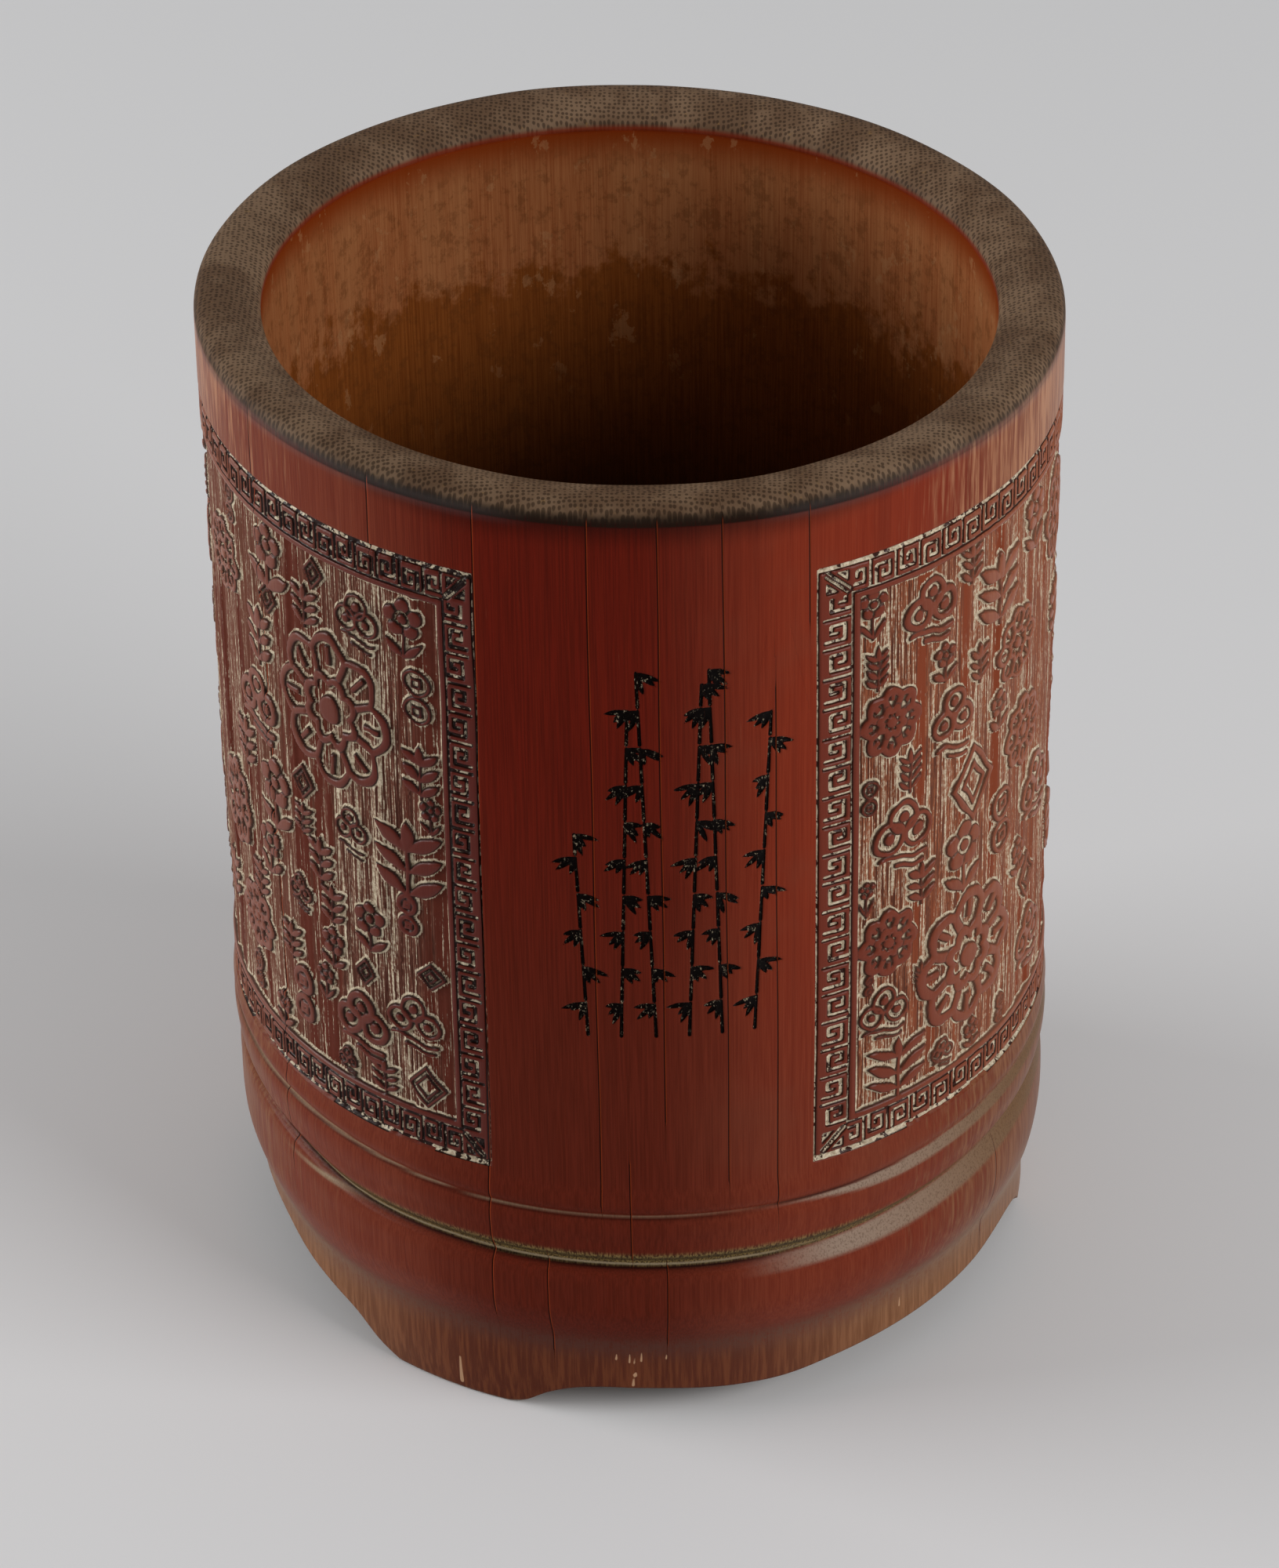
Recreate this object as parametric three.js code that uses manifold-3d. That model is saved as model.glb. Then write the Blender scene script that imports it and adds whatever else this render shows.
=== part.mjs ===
// A bamboo brush pot: one length of thick-walled culm, cut so that a node lies near
// its foot, with three low feet cut out of the wall, two carved panels, and a floor
// disc dropped on to the ledge that is left of the node's own partition.
//
// Millimetres, +Z up. The origin is the centre of the bottom of the pot's box, so the
// feet stand on Z = 0. The plain front, between the two panels, faces -Y.
// Bearings are degrees round the pot from the front, positive towards +X.

import * as THREE from 'three';
import { mergeVertices } from 'three/addons/utils/BufferGeometryUtils.js';
import Module from 'manifold-3d';

// ---- driving dimensions ---------------------------------------------------------

const HEIGHT = 168;
const RIM_RADIUS = 65;
const SHAFT_RADIUS = 64.4;        // just above the node, where the culm is slimmest
const SWELL_RADIUS = 64.1;        // the swelling below the node groove
const FOOT_RADIUS = 60.8;         // outside of the feet, on the ground

const BORE_TOP_RADIUS = 55;
const BORE_FLOOR_RADIUS = 53.8;
const FOOT_RING_RADIUS = 52.5;    // inside of the wall below the floor
const RIM_CREST_RADIUS = 62;
const RIM_DISH = 2.4;             // the rim falls this far from its crest to the bore

const NODE_HEIGHT = 31.7;
const NODE_GROOVE_DEPTH = 1.5;
const LINE_HEIGHT = 41.2;         // fine turned line above the node
const LINE_DEPTH = 0.4;
const HOLLOW_HEIGHT = 15;         // shallow hollow between the swelling and the foot band
const HOLLOW_RADIUS = 61.6;
const FOOT_BAND_RADIUS = 61.6;

const LEDGE_TOP = 26;
const LEDGE_THICKNESS = 4.5;
const LEDGE_WIDTH = 6;
const FLOOR_THICKNESS = 5;
const FIT_GAP = 0.3;              // clearance between the floor disc and the culm

const LEAN = 3.4;                 // the culm leans this far towards -X over its height

// The three gaps between the feet: the height of each gap's top, as [bearing, height].
const ARCHES = [
  [
    [-20, 0], [-17.5, 0.7], [-13.5, 3.5], [-10, 5.1], [-6.5, 5.8], [0, 6], [14, 5.4],
    [21, 5.5], [29, 6.6], [47, 8.2], [59, 9], [67.5, 9.7], [72, 9.3], [76, 7.9],
    [80, 5.2], [84, 1.5], [86.5, 0],
  ],
  [
    [102, 0], [105, 1.4], [110, 5], [117, 7.5], [130, 9], [155, 9.8], [180, 9.3],
    [190, 7.9], [196, 5.9], [202, 1.8], [206, 0],
  ],
  [
    [222, 0], [226, 1.4], [233, 5.8], [243, 8.2], [256, 10.6], [270, 12.2], [284, 12.6],
    [293, 11.6], [302, 8.8], [308, 7.2], [313.5, 5.2], [318, 1.6], [321, 0],
  ],
];

const PANEL_BOTTOM = 48.3;
const PANEL_TOP = 154.5;
const PANEL_DEPTH = 1;
const PANEL_BEARINGS = [[24.5, 158], [-158, -20]];

const LATHE_STEPS = 80;
const ARCH_STEPS = 44;
const PANEL_STEPS = 32;
const CUT_MARGIN = 3;             // how far a cutting block runs past what it cuts

const CULM_COLOR = 0x6b2a1a;
const FLOOR_COLOR = 0x4a3018;

// ---- sections, as [radius, height] ----------------------------------------------

function culmSection() {
  const rimEdge = HEIGHT - RIM_DISH;
  const wellFloor = LEDGE_TOP + FLOOR_THICKNESS;
  const ledgeRadius = BORE_FLOOR_RADIUS - LEDGE_WIDTH;
  return [
    [FOOT_RING_RADIUS, 0],
    [FOOT_RADIUS - 0.5, 0],
    [FOOT_RADIUS, 0.5],
    [FOOT_BAND_RADIUS, 9],
    [HOLLOW_RADIUS, HOLLOW_HEIGHT - 1],
    [HOLLOW_RADIUS + 0.4, HOLLOW_HEIGHT + 2],
    [SWELL_RADIUS - 0.5, NODE_HEIGHT - 9],
    [SWELL_RADIUS, NODE_HEIGHT - 4.5],
    [SWELL_RADIUS - 0.4, NODE_HEIGHT - 1.2],
    [SWELL_RADIUS - NODE_GROOVE_DEPTH, NODE_HEIGHT],
    [SHAFT_RADIUS - 0.5, NODE_HEIGHT + 1.6],
    [SHAFT_RADIUS, NODE_HEIGHT + 3.5],
    [SHAFT_RADIUS, LINE_HEIGHT - 0.6],
    [SHAFT_RADIUS - LINE_DEPTH, LINE_HEIGHT],
    [SHAFT_RADIUS, LINE_HEIGHT + 0.6],
    [SHAFT_RADIUS + 0.3, HEIGHT * 0.45],
    [RIM_RADIUS, HEIGHT * 0.86],
    [RIM_RADIUS, HEIGHT - 3.4],
    [RIM_RADIUS - 0.3, HEIGHT - 1.6],
    [RIM_RADIUS - 1.2, HEIGHT - 0.5],
    [RIM_CREST_RADIUS, HEIGHT],
    [RIM_CREST_RADIUS - 3.5, HEIGHT - 0.6],
    [BORE_TOP_RADIUS + 0.7, rimEdge + 0.2],
    [BORE_TOP_RADIUS, rimEdge - 0.8],
    [BORE_FLOOR_RADIUS, wellFloor],
    [BORE_FLOOR_RADIUS, LEDGE_TOP],
    [ledgeRadius, LEDGE_TOP],
    [ledgeRadius, LEDGE_TOP - LEDGE_THICKNESS],
    [FOOT_RING_RADIUS, LEDGE_TOP - LEDGE_THICKNESS - 3],
    [FOOT_RING_RADIUS, 0],
  ];
}

function floorSection() {
  const bottom = LEDGE_TOP + FIT_GAP;
  const radius = BORE_FLOOR_RADIUS - FIT_GAP;
  const top = bottom + FLOOR_THICKNESS;
  return [
    [0, bottom],
    [radius, bottom],
    [radius, top - 0.8],
    [radius - 0.8, top],
    [0, top + 0.6],
  ];
}

// ---- solids ---------------------------------------------------------------------

function turned(section) {
  const points = section.map(([radius, height]) => new THREE.Vector2(radius, height));
  const geometry = new THREE.LatheGeometry(points, LATHE_STEPS);
  return geometry.rotateX(Math.PI / 2);
}

function around(radius, bearing, height) {
  const angle = THREE.MathUtils.degToRad(bearing - 90);
  return [radius * Math.cos(angle), radius * Math.sin(angle), height];
}

// A block bent round the axis, between two bearings and two radii, with a flat bottom
// and a top whose height follows the bearing.
function bentBlock({ from, to, steps, inner, outer, bottom, topAt }) {
  const positions = [];
  const indices = [];
  for (let step = 0; step <= steps; step += 1) {
    const bearing = THREE.MathUtils.lerp(from, to, step / steps);
    const top = topAt(bearing);
    positions.push(...around(inner, bearing, bottom), ...around(outer, bearing, bottom));
    positions.push(...around(outer, bearing, top), ...around(inner, bearing, top));
  }
  for (let step = 0; step < steps; step += 1) {
    for (let side = 0; side < 4; side += 1) {
      const here = step * 4 + side;
      const next = step * 4 + ((side + 1) % 4);
      indices.push(here, here + 4, next, next, here + 4, next + 4);
    }
  }
  const last = steps * 4;
  indices.push(0, 1, 2, 0, 2, 3);
  indices.push(last, last + 2, last + 1, last, last + 3, last + 2);
  const geometry = new THREE.BufferGeometry();
  geometry.setAttribute('position', new THREE.Float32BufferAttribute(positions, 3));
  geometry.setIndex(indices);
  return geometry;
}

// The height of a gap's top at a bearing, straight from one listed point to the next.
function archHeight(points, bearing) {
  const after = points.findIndex(([at]) => at >= bearing);
  if (after < 1) return after === 0 ? points[0][1] : points[points.length - 1][1];
  const [from, low] = points[after - 1];
  const [to, high] = points[after];
  return THREE.MathUtils.lerp(low, high, (bearing - from) / (to - from));
}

function archBlock(points) {
  return bentBlock({
    from: points[0][0],
    to: points[points.length - 1][0],
    steps: ARCH_STEPS,
    inner: FOOT_RING_RADIUS - CUT_MARGIN,
    outer: FOOT_BAND_RADIUS + CUT_MARGIN,
    bottom: -CUT_MARGIN,
    topAt: (bearing) => archHeight(points, bearing),
  });
}

function panelBlock([from, to]) {
  return bentBlock({
    from,
    to,
    steps: PANEL_STEPS,
    inner: SHAFT_RADIUS + 0.3 - PANEL_DEPTH,
    outer: RIM_RADIUS + CUT_MARGIN,
    bottom: PANEL_BOTTOM,
    topAt: () => PANEL_TOP,
  });
}

// ---- joining and cutting --------------------------------------------------------

const wasm = await Module();
wasm.setup();

function solidOf(geometry) {
  const bare = geometry.clone();
  bare.deleteAttribute('normal');
  bare.deleteAttribute('uv');
  const welded = mergeVertices(bare, 1e-4);
  const vertProperties = new Float32Array(welded.attributes.position.array);
  const triVerts = new Uint32Array(welded.index.array);
  return new wasm.Manifold(new wasm.Mesh({ numProp: 3, vertProperties, triVerts }));
}

function geometryOf(solid) {
  const { vertProperties, triVerts } = solid.getMesh();
  const geometry = new THREE.BufferGeometry();
  geometry.setAttribute('position', new THREE.Float32BufferAttribute(vertProperties, 3));
  geometry.setIndex(Array.from(triVerts));
  geometry.computeVertexNormals();
  return geometry;
}

function culmGeometry() {
  const cutters = [...ARCHES.map(archBlock), ...PANEL_BEARINGS.map(panelBlock)];
  const whole = solidOf(turned(culmSection()));
  const cut = cutters.reduce((solid, cutter) => solid.subtract(solidOf(cutter)), whole);
  return geometryOf(cut);
}

// ---- the natural lean, and the origin -------------------------------------------

function lean(geometry) {
  const shear = new THREE.Matrix4();
  shear.elements[8] = -LEAN / HEIGHT;
  return geometry.applyMatrix4(shear);
}

const culm = lean(culmGeometry());
const floor = lean(turned(floorSection()));

culm.computeBoundingBox();
const middle = culm.boundingBox.getCenter(new THREE.Vector3());
culm.translate(-middle.x, -middle.y, 0);
floor.translate(-middle.x, -middle.y, 0);

// ---- the pot --------------------------------------------------------------------

function piece(name, geometry, color, roughness) {
  const material = new THREE.MeshStandardMaterial({ color, roughness, metalness: 0 });
  const mesh = new THREE.Mesh(geometry, material);
  mesh.name = name;
  return mesh;
}

const pot = new THREE.Group();
pot.name = 'brush_pot';
pot.add(piece('bamboo_culm', culm, CULM_COLOR, 0.4));
pot.add(piece('floor_disc', floor, FLOOR_COLOR, 0.7));

export default pot;
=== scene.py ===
"""A carved bamboo brush pot: looks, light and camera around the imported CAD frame.

The culm is one closed mesh on a fine grid that wraps round the wall, over the rim, down
the bore and under the foot. The carving is real relief: every ornament is a signed
distance, in millimetres, that both moves the surface and, stored on the mesh, tells the
material where the tops, the cut walls and the ground are.

Lengths are millimetres until a mesh is made. Bearings are degrees round the pot from
the front, positive towards +X.
"""

import math

import bpy
import numpy as np
from mathutils import Matrix, Vector


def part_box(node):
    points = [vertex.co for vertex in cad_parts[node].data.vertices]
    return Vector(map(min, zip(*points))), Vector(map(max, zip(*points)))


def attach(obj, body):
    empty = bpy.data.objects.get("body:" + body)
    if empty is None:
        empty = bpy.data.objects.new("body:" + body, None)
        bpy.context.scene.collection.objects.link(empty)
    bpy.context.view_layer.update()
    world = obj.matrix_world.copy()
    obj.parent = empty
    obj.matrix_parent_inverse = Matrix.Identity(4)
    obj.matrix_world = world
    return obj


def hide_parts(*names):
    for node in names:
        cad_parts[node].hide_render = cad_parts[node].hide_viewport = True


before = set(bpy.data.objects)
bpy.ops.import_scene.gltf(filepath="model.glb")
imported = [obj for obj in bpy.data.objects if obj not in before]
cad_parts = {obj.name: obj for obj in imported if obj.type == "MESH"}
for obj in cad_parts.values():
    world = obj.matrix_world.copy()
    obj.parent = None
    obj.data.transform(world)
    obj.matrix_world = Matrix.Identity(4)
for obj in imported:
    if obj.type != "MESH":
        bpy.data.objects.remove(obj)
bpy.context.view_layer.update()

MM = 0.001
SEED = 7

# ---- sizes taken from the frame --------------------------------------------------

culm_low, culm_high = (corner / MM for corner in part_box("bamboo_culm"))
disc_low, disc_high = (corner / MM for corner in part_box("floor_disc"))

HEIGHT = culm_high.z
RIM_RADIUS = (culm_high.y - culm_low.y) / 2
DISC_RADIUS = (disc_high.y - disc_low.y) / 2
MM_PER_DEGREE = math.radians(RIM_RADIUS)

# The culm leans towards -X: its axis crosses the floor at BASE_SHIFT, and the rim's
# edge, LEAN further over, is what the frame's box is centred on.
LEAN = 3.4
RIM_WIDEST_HEIGHT = HEIGHT - 3.4
BASE_SHIFT = culm_low.x + RIM_RADIUS + LEAN * RIM_WIDEST_HEIGHT / HEIGHT

# ---- sizes of the culm -----------------------------------------------------------

BORE_TOP_RADIUS = 55.0
BORE_FLOOR_RADIUS = 53.8
FOOT_RING_RADIUS = 52.5
LEDGE_RADIUS = 47.8
LEDGE_TOP = 26.0
LEDGE_BOTTOM = 21.5
EDGE_ROUNDING = 0.5

FOOT_TOP = 21.0                # above this height the rows of the grid run level

HOLLOW_HEIGHT = 15.2           # the shallow hollow above the foot band
NODE_HEIGHT = 31.7             # the node's dark line
FRINGE_TOP = 34.7              # where the skin begins again above the node
LINE_HEIGHT = 42.0             # the fine turned line
WALL_TOP = HEIGHT - 3.5        # where the rim's rounding starts

PANEL_BOTTOM = 48.3
PANEL_TOP = 154.5
LEFT_PANEL = (-158.0, -20.0)
RIGHT_PANEL = (24.5, 158.0)
GROUND_DEPTH = 0.85

FAR = 3.0                      # signed distances are kept within this many millimetres
FINE_STEP = 0.28               # grid step in the panels
FIELD_STEP = 0.24              # grid step across the plain front
COARSE_STEP = 0.6


# ---- small mathematics -----------------------------------------------------------


def ramp(value, low, high):
    """0 below low, 1 above high, smooth between them."""
    t = np.clip((value - low) / (high - low), 0, 1)
    return t * t * (3 - 2 * t)


def bump(value, middle, width):
    return np.exp(-(((value - middle) / width) ** 2))


def turn_between(bearing, middle):
    """The signed angle from middle to bearing, the short way round."""
    return (bearing - middle + 180) % 360 - 180


def smooth_curve(x, points):
    """A cubic through (x, y) points, with slopes from their neighbours."""
    knots, values = np.array(points, float).T
    slopes = np.gradient(values, knots)
    i = np.clip(np.searchsorted(knots, x) - 1, 0, len(knots) - 2)
    span = knots[i + 1] - knots[i]
    t = np.clip((x - knots[i]) / span, 0, 1)
    start, end = values[i], values[i + 1]
    leave, arrive = slopes[i] * span, slopes[i + 1] * span
    rise = end - start
    return (
        start
        + leave * t
        + (3 * rise - 2 * leave - arrive) * t**2
        + (leave + arrive - 2 * rise) * t**3
    )


def value_noise(u, v, cell_u, cell_v, seed):
    """Smooth noise from 0 to 1 on the grid of rows v and columns u."""
    u = np.asarray(u, float) / cell_u
    v = np.asarray(v, float) / cell_v
    u -= u.min()
    v -= v.min()
    rolls = np.random.default_rng(seed).random((int(v.max()) + 3, int(u.max()) + 3))
    iu, iv = u.astype(int), v.astype(int)
    fu = ramp(u - iu, 0, 1)[None, :]
    fv = ramp(v - iv, 0, 1)[:, None]
    low = rolls[iv][:, iu] * (1 - fu) + rolls[iv][:, iu + 1] * fu
    high = rolls[iv + 1][:, iu] * (1 - fu) + rolls[iv + 1][:, iu + 1] * fu
    return low * (1 - fv) + high * fv


# ---- shapes as signed distances, positive inside ---------------------------------


def block(x, y, width, height, rounding=0.0):
    dx = np.abs(x) - (width / 2 - rounding)
    dy = np.abs(y) - (height / 2 - rounding)
    outside = np.hypot(np.maximum(dx, 0), np.maximum(dy, 0))
    inside = np.minimum(np.maximum(dx, dy), 0)
    return rounding - outside - inside


def stroke(x, y, start, end, half, end_half=None):
    """A rounded stroke from start to end, tapering from half to end_half wide."""
    ax, ay = start
    bx, by = end
    along = (x - ax) * (bx - ax) + (y - ay) * (by - ay)
    t = np.clip(along / max((bx - ax) ** 2 + (by - ay) ** 2, 1e-6), 0, 1)
    gap = np.hypot(x - ax - t * (bx - ax), y - ay - t * (by - ay))
    thick = half if end_half is None else half + (end_half - half) * t
    return thick - gap


def bar(x, y, middle, level, length, thick):
    reach = max(length - thick, 0) / 2
    return stroke(x, y, (middle - reach, level), (middle + reach, level), thick / 2)


def ring(x, y, middle, level, radius, thick):
    return thick / 2 - np.abs(np.hypot(x - middle, y - level) - radius + thick / 2)


def outline(shape, thick):
    """The band just inside a shape's edge."""
    return thick / 2 - np.abs(shape - thick / 2)


def either(*shapes):
    return np.maximum.reduce([np.broadcast_to(s, shapes[0].shape) for s in shapes])


# ---- ornaments: each fills a box w by h, with lines s thick -----------------------
# Plain flowers, leaves, clouds, coins and lozenges: none of them is writing.


def leaf(x, y, root, tip, half):
    """A pointed leaf from root to tip, widest half way."""
    ax, ay = root
    bx, by = tip
    along = (x - ax) * (bx - ax) + (y - ay) * (by - ay)
    t = np.clip(along / ((bx - ax) ** 2 + (by - ay) ** 2), 0, 1)
    gap = np.hypot(x - ax - t * (bx - ax), y - ay - t * (by - ay))
    return half * 4 * t * (1 - t) - gap


def spray(x, y, w, h, s):
    """A stem with pairs of pointed leaves and one leaf at its tip."""
    shape = stroke(x, y, (0, -h / 2), (0, h * 0.2), s * 0.4)
    pairs = 3 if h < 1.5 * w else 4
    spacing = 0.55 * h / (pairs - 1)
    for i in range(pairs):
        root = -0.42 * h + spacing * i
        for side in (-1, 1):
            tip = (side * w * 0.48, root + 0.25 * h)
            shape = either(shape, leaf(x, y, (0, root), tip, 0.30 * spacing))
    return either(shape, leaf(x, y, (0, 0.1 * h), (0, h / 2), 0.30 * spacing))


def flower(x, y, w, h, s):
    """Five petals round an eye, on a stem between two leaves."""
    radius = min(w / 2, 0.34 * h)
    level = h / 2 - radius
    reach = np.hypot(x, y - level)
    turn = np.abs(np.cos(2.5 * np.arctan2(x, y - level)))
    petals = radius * (0.72 + 0.28 * turn) - reach
    petals = np.minimum(petals, reach * turn / 2.5 - 0.14)
    petals = np.minimum(petals, reach - 0.42 * radius)
    shape = either(petals, 0.26 * radius - reach)
    shape = either(shape, stroke(x, y, (0, level - 0.8 * radius), (0, -h / 2), s * 0.45))
    for side in (-1, 1):
        tip = (side * 0.46 * w, -h / 2 + 0.9 * (h - 2 * radius))
        shape = either(shape, leaf(x, y, (0, -h / 2), tip, 0.10 * w))
    return shape


def rosette(x, y, w, h, s):
    """A round flower: eight veined petals round a smaller flower."""
    size = min(w, h) / 2
    reach = np.hypot(2 * x / w, 2 * y / h)
    angle = np.arctan2(y / h, x / w)
    seam, vein = np.abs(np.cos(4 * angle)), np.abs(np.sin(4 * angle))
    outer = (0.82 + 0.18 * seam - reach) * size
    inner = (0.40 + 0.10 * vein - reach) * size
    seams = np.minimum(0.40 * s - reach * size * seam / 4, np.minimum(outer, -inner))
    veins = np.minimum(reach - 0.58, 0.84 - reach) * size
    veins = np.minimum(0.32 * s - reach * size * vein / 4, veins)
    eye = (0.18 - reach) * size
    return either(outline(outer, s), outline(inner, s), seams, veins, eye)


def cloud(x, y, w, h, s):
    """A scroll cloud: three curled lobes over two trailing wisps."""
    radius = min(0.27 * w, 0.24 * h)
    shape = np.full_like(x + y, -FAR)
    for middle, level in ((-0.23 * w, 0), (0.23 * w, 0), (0, 0.25 * h)):
        curl = 0.34 * radius - np.hypot(x - middle, y - level)
        shape = either(shape, ring(x, y, middle, level, radius, s), curl)
    bent = y + 0.05 * h * np.sin(2 * math.pi * x / w)
    shape = either(shape, bar(x, bent, 0, -0.33 * h, 0.8 * w, 0.8 * s))
    return either(shape, bar(x, bent, 0.1 * w, -0.45 * h, 0.5 * w, 0.8 * s))


def coin(x, y, w, h, s):
    """Two rings, one over the other, each round a small square."""
    shape = np.full_like(x + y, -FAR)
    radius = min(w / 2, h / 4)
    for level in (-h / 2 + radius, h / 2 - radius):
        hole = outline(block(x, y - level, radius * 0.8, radius * 0.8), s * 0.8)
        shape = either(shape, ring(x, y, 0, level, radius, s), hole)
    return shape


def lozenge(x, y, w, h, s):
    """Nested lozenges."""
    scale = 1 / math.hypot(2 / w, 2 / h)
    diamond = (1 - np.abs(x) * 2 / w - np.abs(y) * 2 / h) * scale
    return either(outline(diamond, s), outline(diamond - 1.9 * s, s * 0.8))


LARGE_SIZE = 11.0
LARGE_ORNAMENTS = (rosette, spray, cloud)
SMALL_ORNAMENTS = (spray, flower, lozenge, spray, cloud, flower, coin)


def pick_ornament(index, width, tall):
    """The ornament for a place: the kinds take turns down the list."""
    kinds = LARGE_ORNAMENTS if min(width, tall) > LARGE_SIZE else SMALL_ORNAMENTS
    return kinds[index % len(kinds)]


# ---- where the ornaments stand ----------------------------------------------------
# (distance from the panel's front edge, height above its bottom, width, height, line
# thickness)

LEFT_PLACES = [
    (26.5, 73.5, 23.5, 27.0, 1.35),
    (40.5, 93.7, 11.8, 10.8, 0.90),
    (29.0, 96.2, 4.4, 5.6, 0.46),
    (31.3, 89.7, 6.6, 7.4, 0.48),
    (20.4, 91.5, 8.2, 9.6, 0.52),
    (11.8, 93.4, 6.8, 10.0, 0.56),
    (9.9, 82.2, 8.0, 9.6, 0.52),
    (9.8, 69.0, 6.4, 9.6, 0.56),
    (8.3, 61.5, 3.8, 6.4, 0.44),
    (41.0, 86.2, 5.0, 6.0, 0.46),
    (44.2, 78.0, 7.2, 10.2, 0.62),
    (45.8, 65.4, 12.6, 11.6, 1.30),
    (57.0, 85.2, 13.6, 12.2, 0.95),
    (52.6, 96.4, 6.4, 7.0, 0.52),
    (51.2, 55.2, 7.0, 8.6, 0.60),
    (41.6, 51.0, 10.0, 12.4, 0.78),
    (33.8, 57.4, 5.4, 6.4, 0.46),
    (34.2, 50.6, 4.6, 5.6, 0.46),
    (23.4, 53.6, 6.6, 9.2, 0.50),
    (12.6, 52.4, 12.6, 14.4, 0.92),
    (13.0, 42.6, 9.0, 7.6, 0.90),
    (30.4, 45.0, 5.8, 8.2, 0.46),
    (20.4, 37.4, 6.8, 8.8, 0.52),
    (9.3, 32.4, 5.2, 5.0, 0.48),
    (28.2, 37.8, 5.4, 7.4, 0.48),
    (36.0, 36.4, 5.6, 6.6, 0.50),
    (44.2, 39.7, 7.2, 9.0, 0.58),
    (57.2, 40.6, 12.4, 15.6, 1.15),
    (48.4, 31.8, 6.0, 6.6, 0.52),
    (28.5, 29.8, 6.0, 7.4, 0.50),
    (21.8, 28.5, 4.2, 5.0, 0.44),
    (39.2, 25.6, 5.6, 7.0, 0.56),
    (12.8, 22.8, 11.0, 9.8, 0.72),
    (50.8, 23.2, 12.2, 11.8, 1.40),
    (36.5, 16.8, 12.0, 10.4, 1.20),
    (23.0, 18.4, 11.2, 11.8, 1.25),
    (30.6, 22.6, 4.0, 6.6, 0.48),
    (10.9, 11.4, 7.0, 8.0, 0.52),
    (18.9, 10.2, 5.6, 6.2, 0.46),
    (26.6, 9.8, 4.2, 5.2, 0.44),
    (43.0, 10.6, 6.0, 6.4, 0.50),
    (52.0, 12.2, 6.6, 7.0, 0.54),
    (62.5, 24.0, 6.0, 8.6, 0.72),
]

RIGHT_PLACES = [
    (30.8, 25.8, 24.0, 25.0, 2.00),
    (9.6, 95.6, 5.2, 8.6, 0.46),
    (20.8, 92.4, 11.6, 11.6, 1.15),
    (29.8, 96.4, 5.6, 7.0, 0.48),
    (37.4, 88.4, 12.0, 12.6, 0.62),
    (49.4, 94.0, 8.0, 10.6, 0.56),
    (62.0, 88.6, 13.6, 17.6, 0.95),
    (10.6, 86.0, 4.4, 8.0, 0.46),
    (23.9, 82.0, 5.8, 6.8, 0.52),
    (13.2, 75.9, 11.6, 12.4, 1.40),
    (32.2, 77.9, 5.2, 6.8, 0.48),
    (26.0, 70.6, 9.4, 13.6, 1.00),
    (43.4, 75.4, 13.2, 12.4, 0.95),
    (9.4, 63.6, 4.2, 6.2, 0.44),
    (16.9, 66.0, 5.0, 8.0, 0.52),
    (37.8, 66.7, 6.2, 6.8, 0.48),
    (31.0, 57.4, 10.6, 14.4, 0.98),
    (15.8, 55.0, 12.0, 12.4, 0.92),
    (46.4, 58.4, 13.2, 12.6, 1.20),
    (29.0, 45.0, 9.4, 12.4, 0.92),
    (39.4, 46.0, 8.6, 11.6, 0.86),
    (19.6, 44.6, 6.0, 7.6, 0.46),
    (9.0, 45.6, 3.0, 6.4, 0.42),
    (53.0, 44.4, 13.6, 12.2, 0.95),
    (13.2, 36.3, 11.6, 12.2, 1.40),
    (12.6, 23.4, 10.4, 9.6, 0.60),
    (45.8, 35.4, 6.4, 6.4, 0.56),
    (9.6, 29.6, 4.0, 3.6, 0.44),
    (20.0, 27.6, 3.0, 5.0, 0.44),
    (52.0, 16.9, 12.8, 11.6, 1.15),
    (50.0, 29.4, 7.0, 8.6, 0.58),
    (15.5, 12.6, 12.2, 10.8, 1.00),
    (25.1, 10.4, 5.2, 5.6, 0.46),
    (32.4, 10.2, 5.0, 5.4, 0.44),
    (41.0, 9.8, 5.6, 5.2, 0.46),
    (64.0, 70.0, 9.4, 8.6, 0.90),
    (65.2, 30.4, 8.4, 10.6, 0.85),
]

# Each panel goes on round the pot with ornaments at the other one's places, this far on.
REPEAT_AFTER = 68.0

# ---- panel border, from its outer edge inwards ------------------------------------

EDGE_CUT = (0.0, 0.45)
FRET_BAND = (1.35, 5.45)
INNER_CUT = (5.45, 5.85)
BORDER_WIDTH = 6.9
CHISEL_WIDTH = 1.2
FRET_LINE = 0.32
SIDE_CELL = 5.1
# The left panel's upright border is narrower than the right one's, and its hooks along
# the top are closer together.
LEFT_LAYOUT = {"side": 5.9, "cell": 3.95, "facing": -1}
RIGHT_LAYOUT = {"side": 7.4, "cell": 4.5, "facing": 1}


def fret_lines(along, across, length, flip):
    """The cut lines of one row of square hooks: positive on a line."""
    band = FRET_BAND[1] - FRET_BAND[0]
    cell = np.floor(along / length)
    t = along - cell * length
    q = across - FRET_BAND[0]
    q = np.where((cell + flip) % 2 < 1, q, band - q)
    near, far, middle = 0.24 * length, 0.77 * length, 0.50 * length
    hook = [(near, 0.1), (near, 3.1), (far, 3.1), (far, 0.95), (middle, 0.95), (middle, 1.9)]
    lines = FRET_LINE * 0.8 - np.minimum(t, length - t)
    for start, end in zip(hook, hook[1:]):
        lines = np.maximum(lines, stroke(t, q, start, end, FRET_LINE))
    in_band = np.minimum(across - FRET_BAND[0], FRET_BAND[1] - across) + FRET_LINE
    return np.minimum(lines, in_band)


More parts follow.
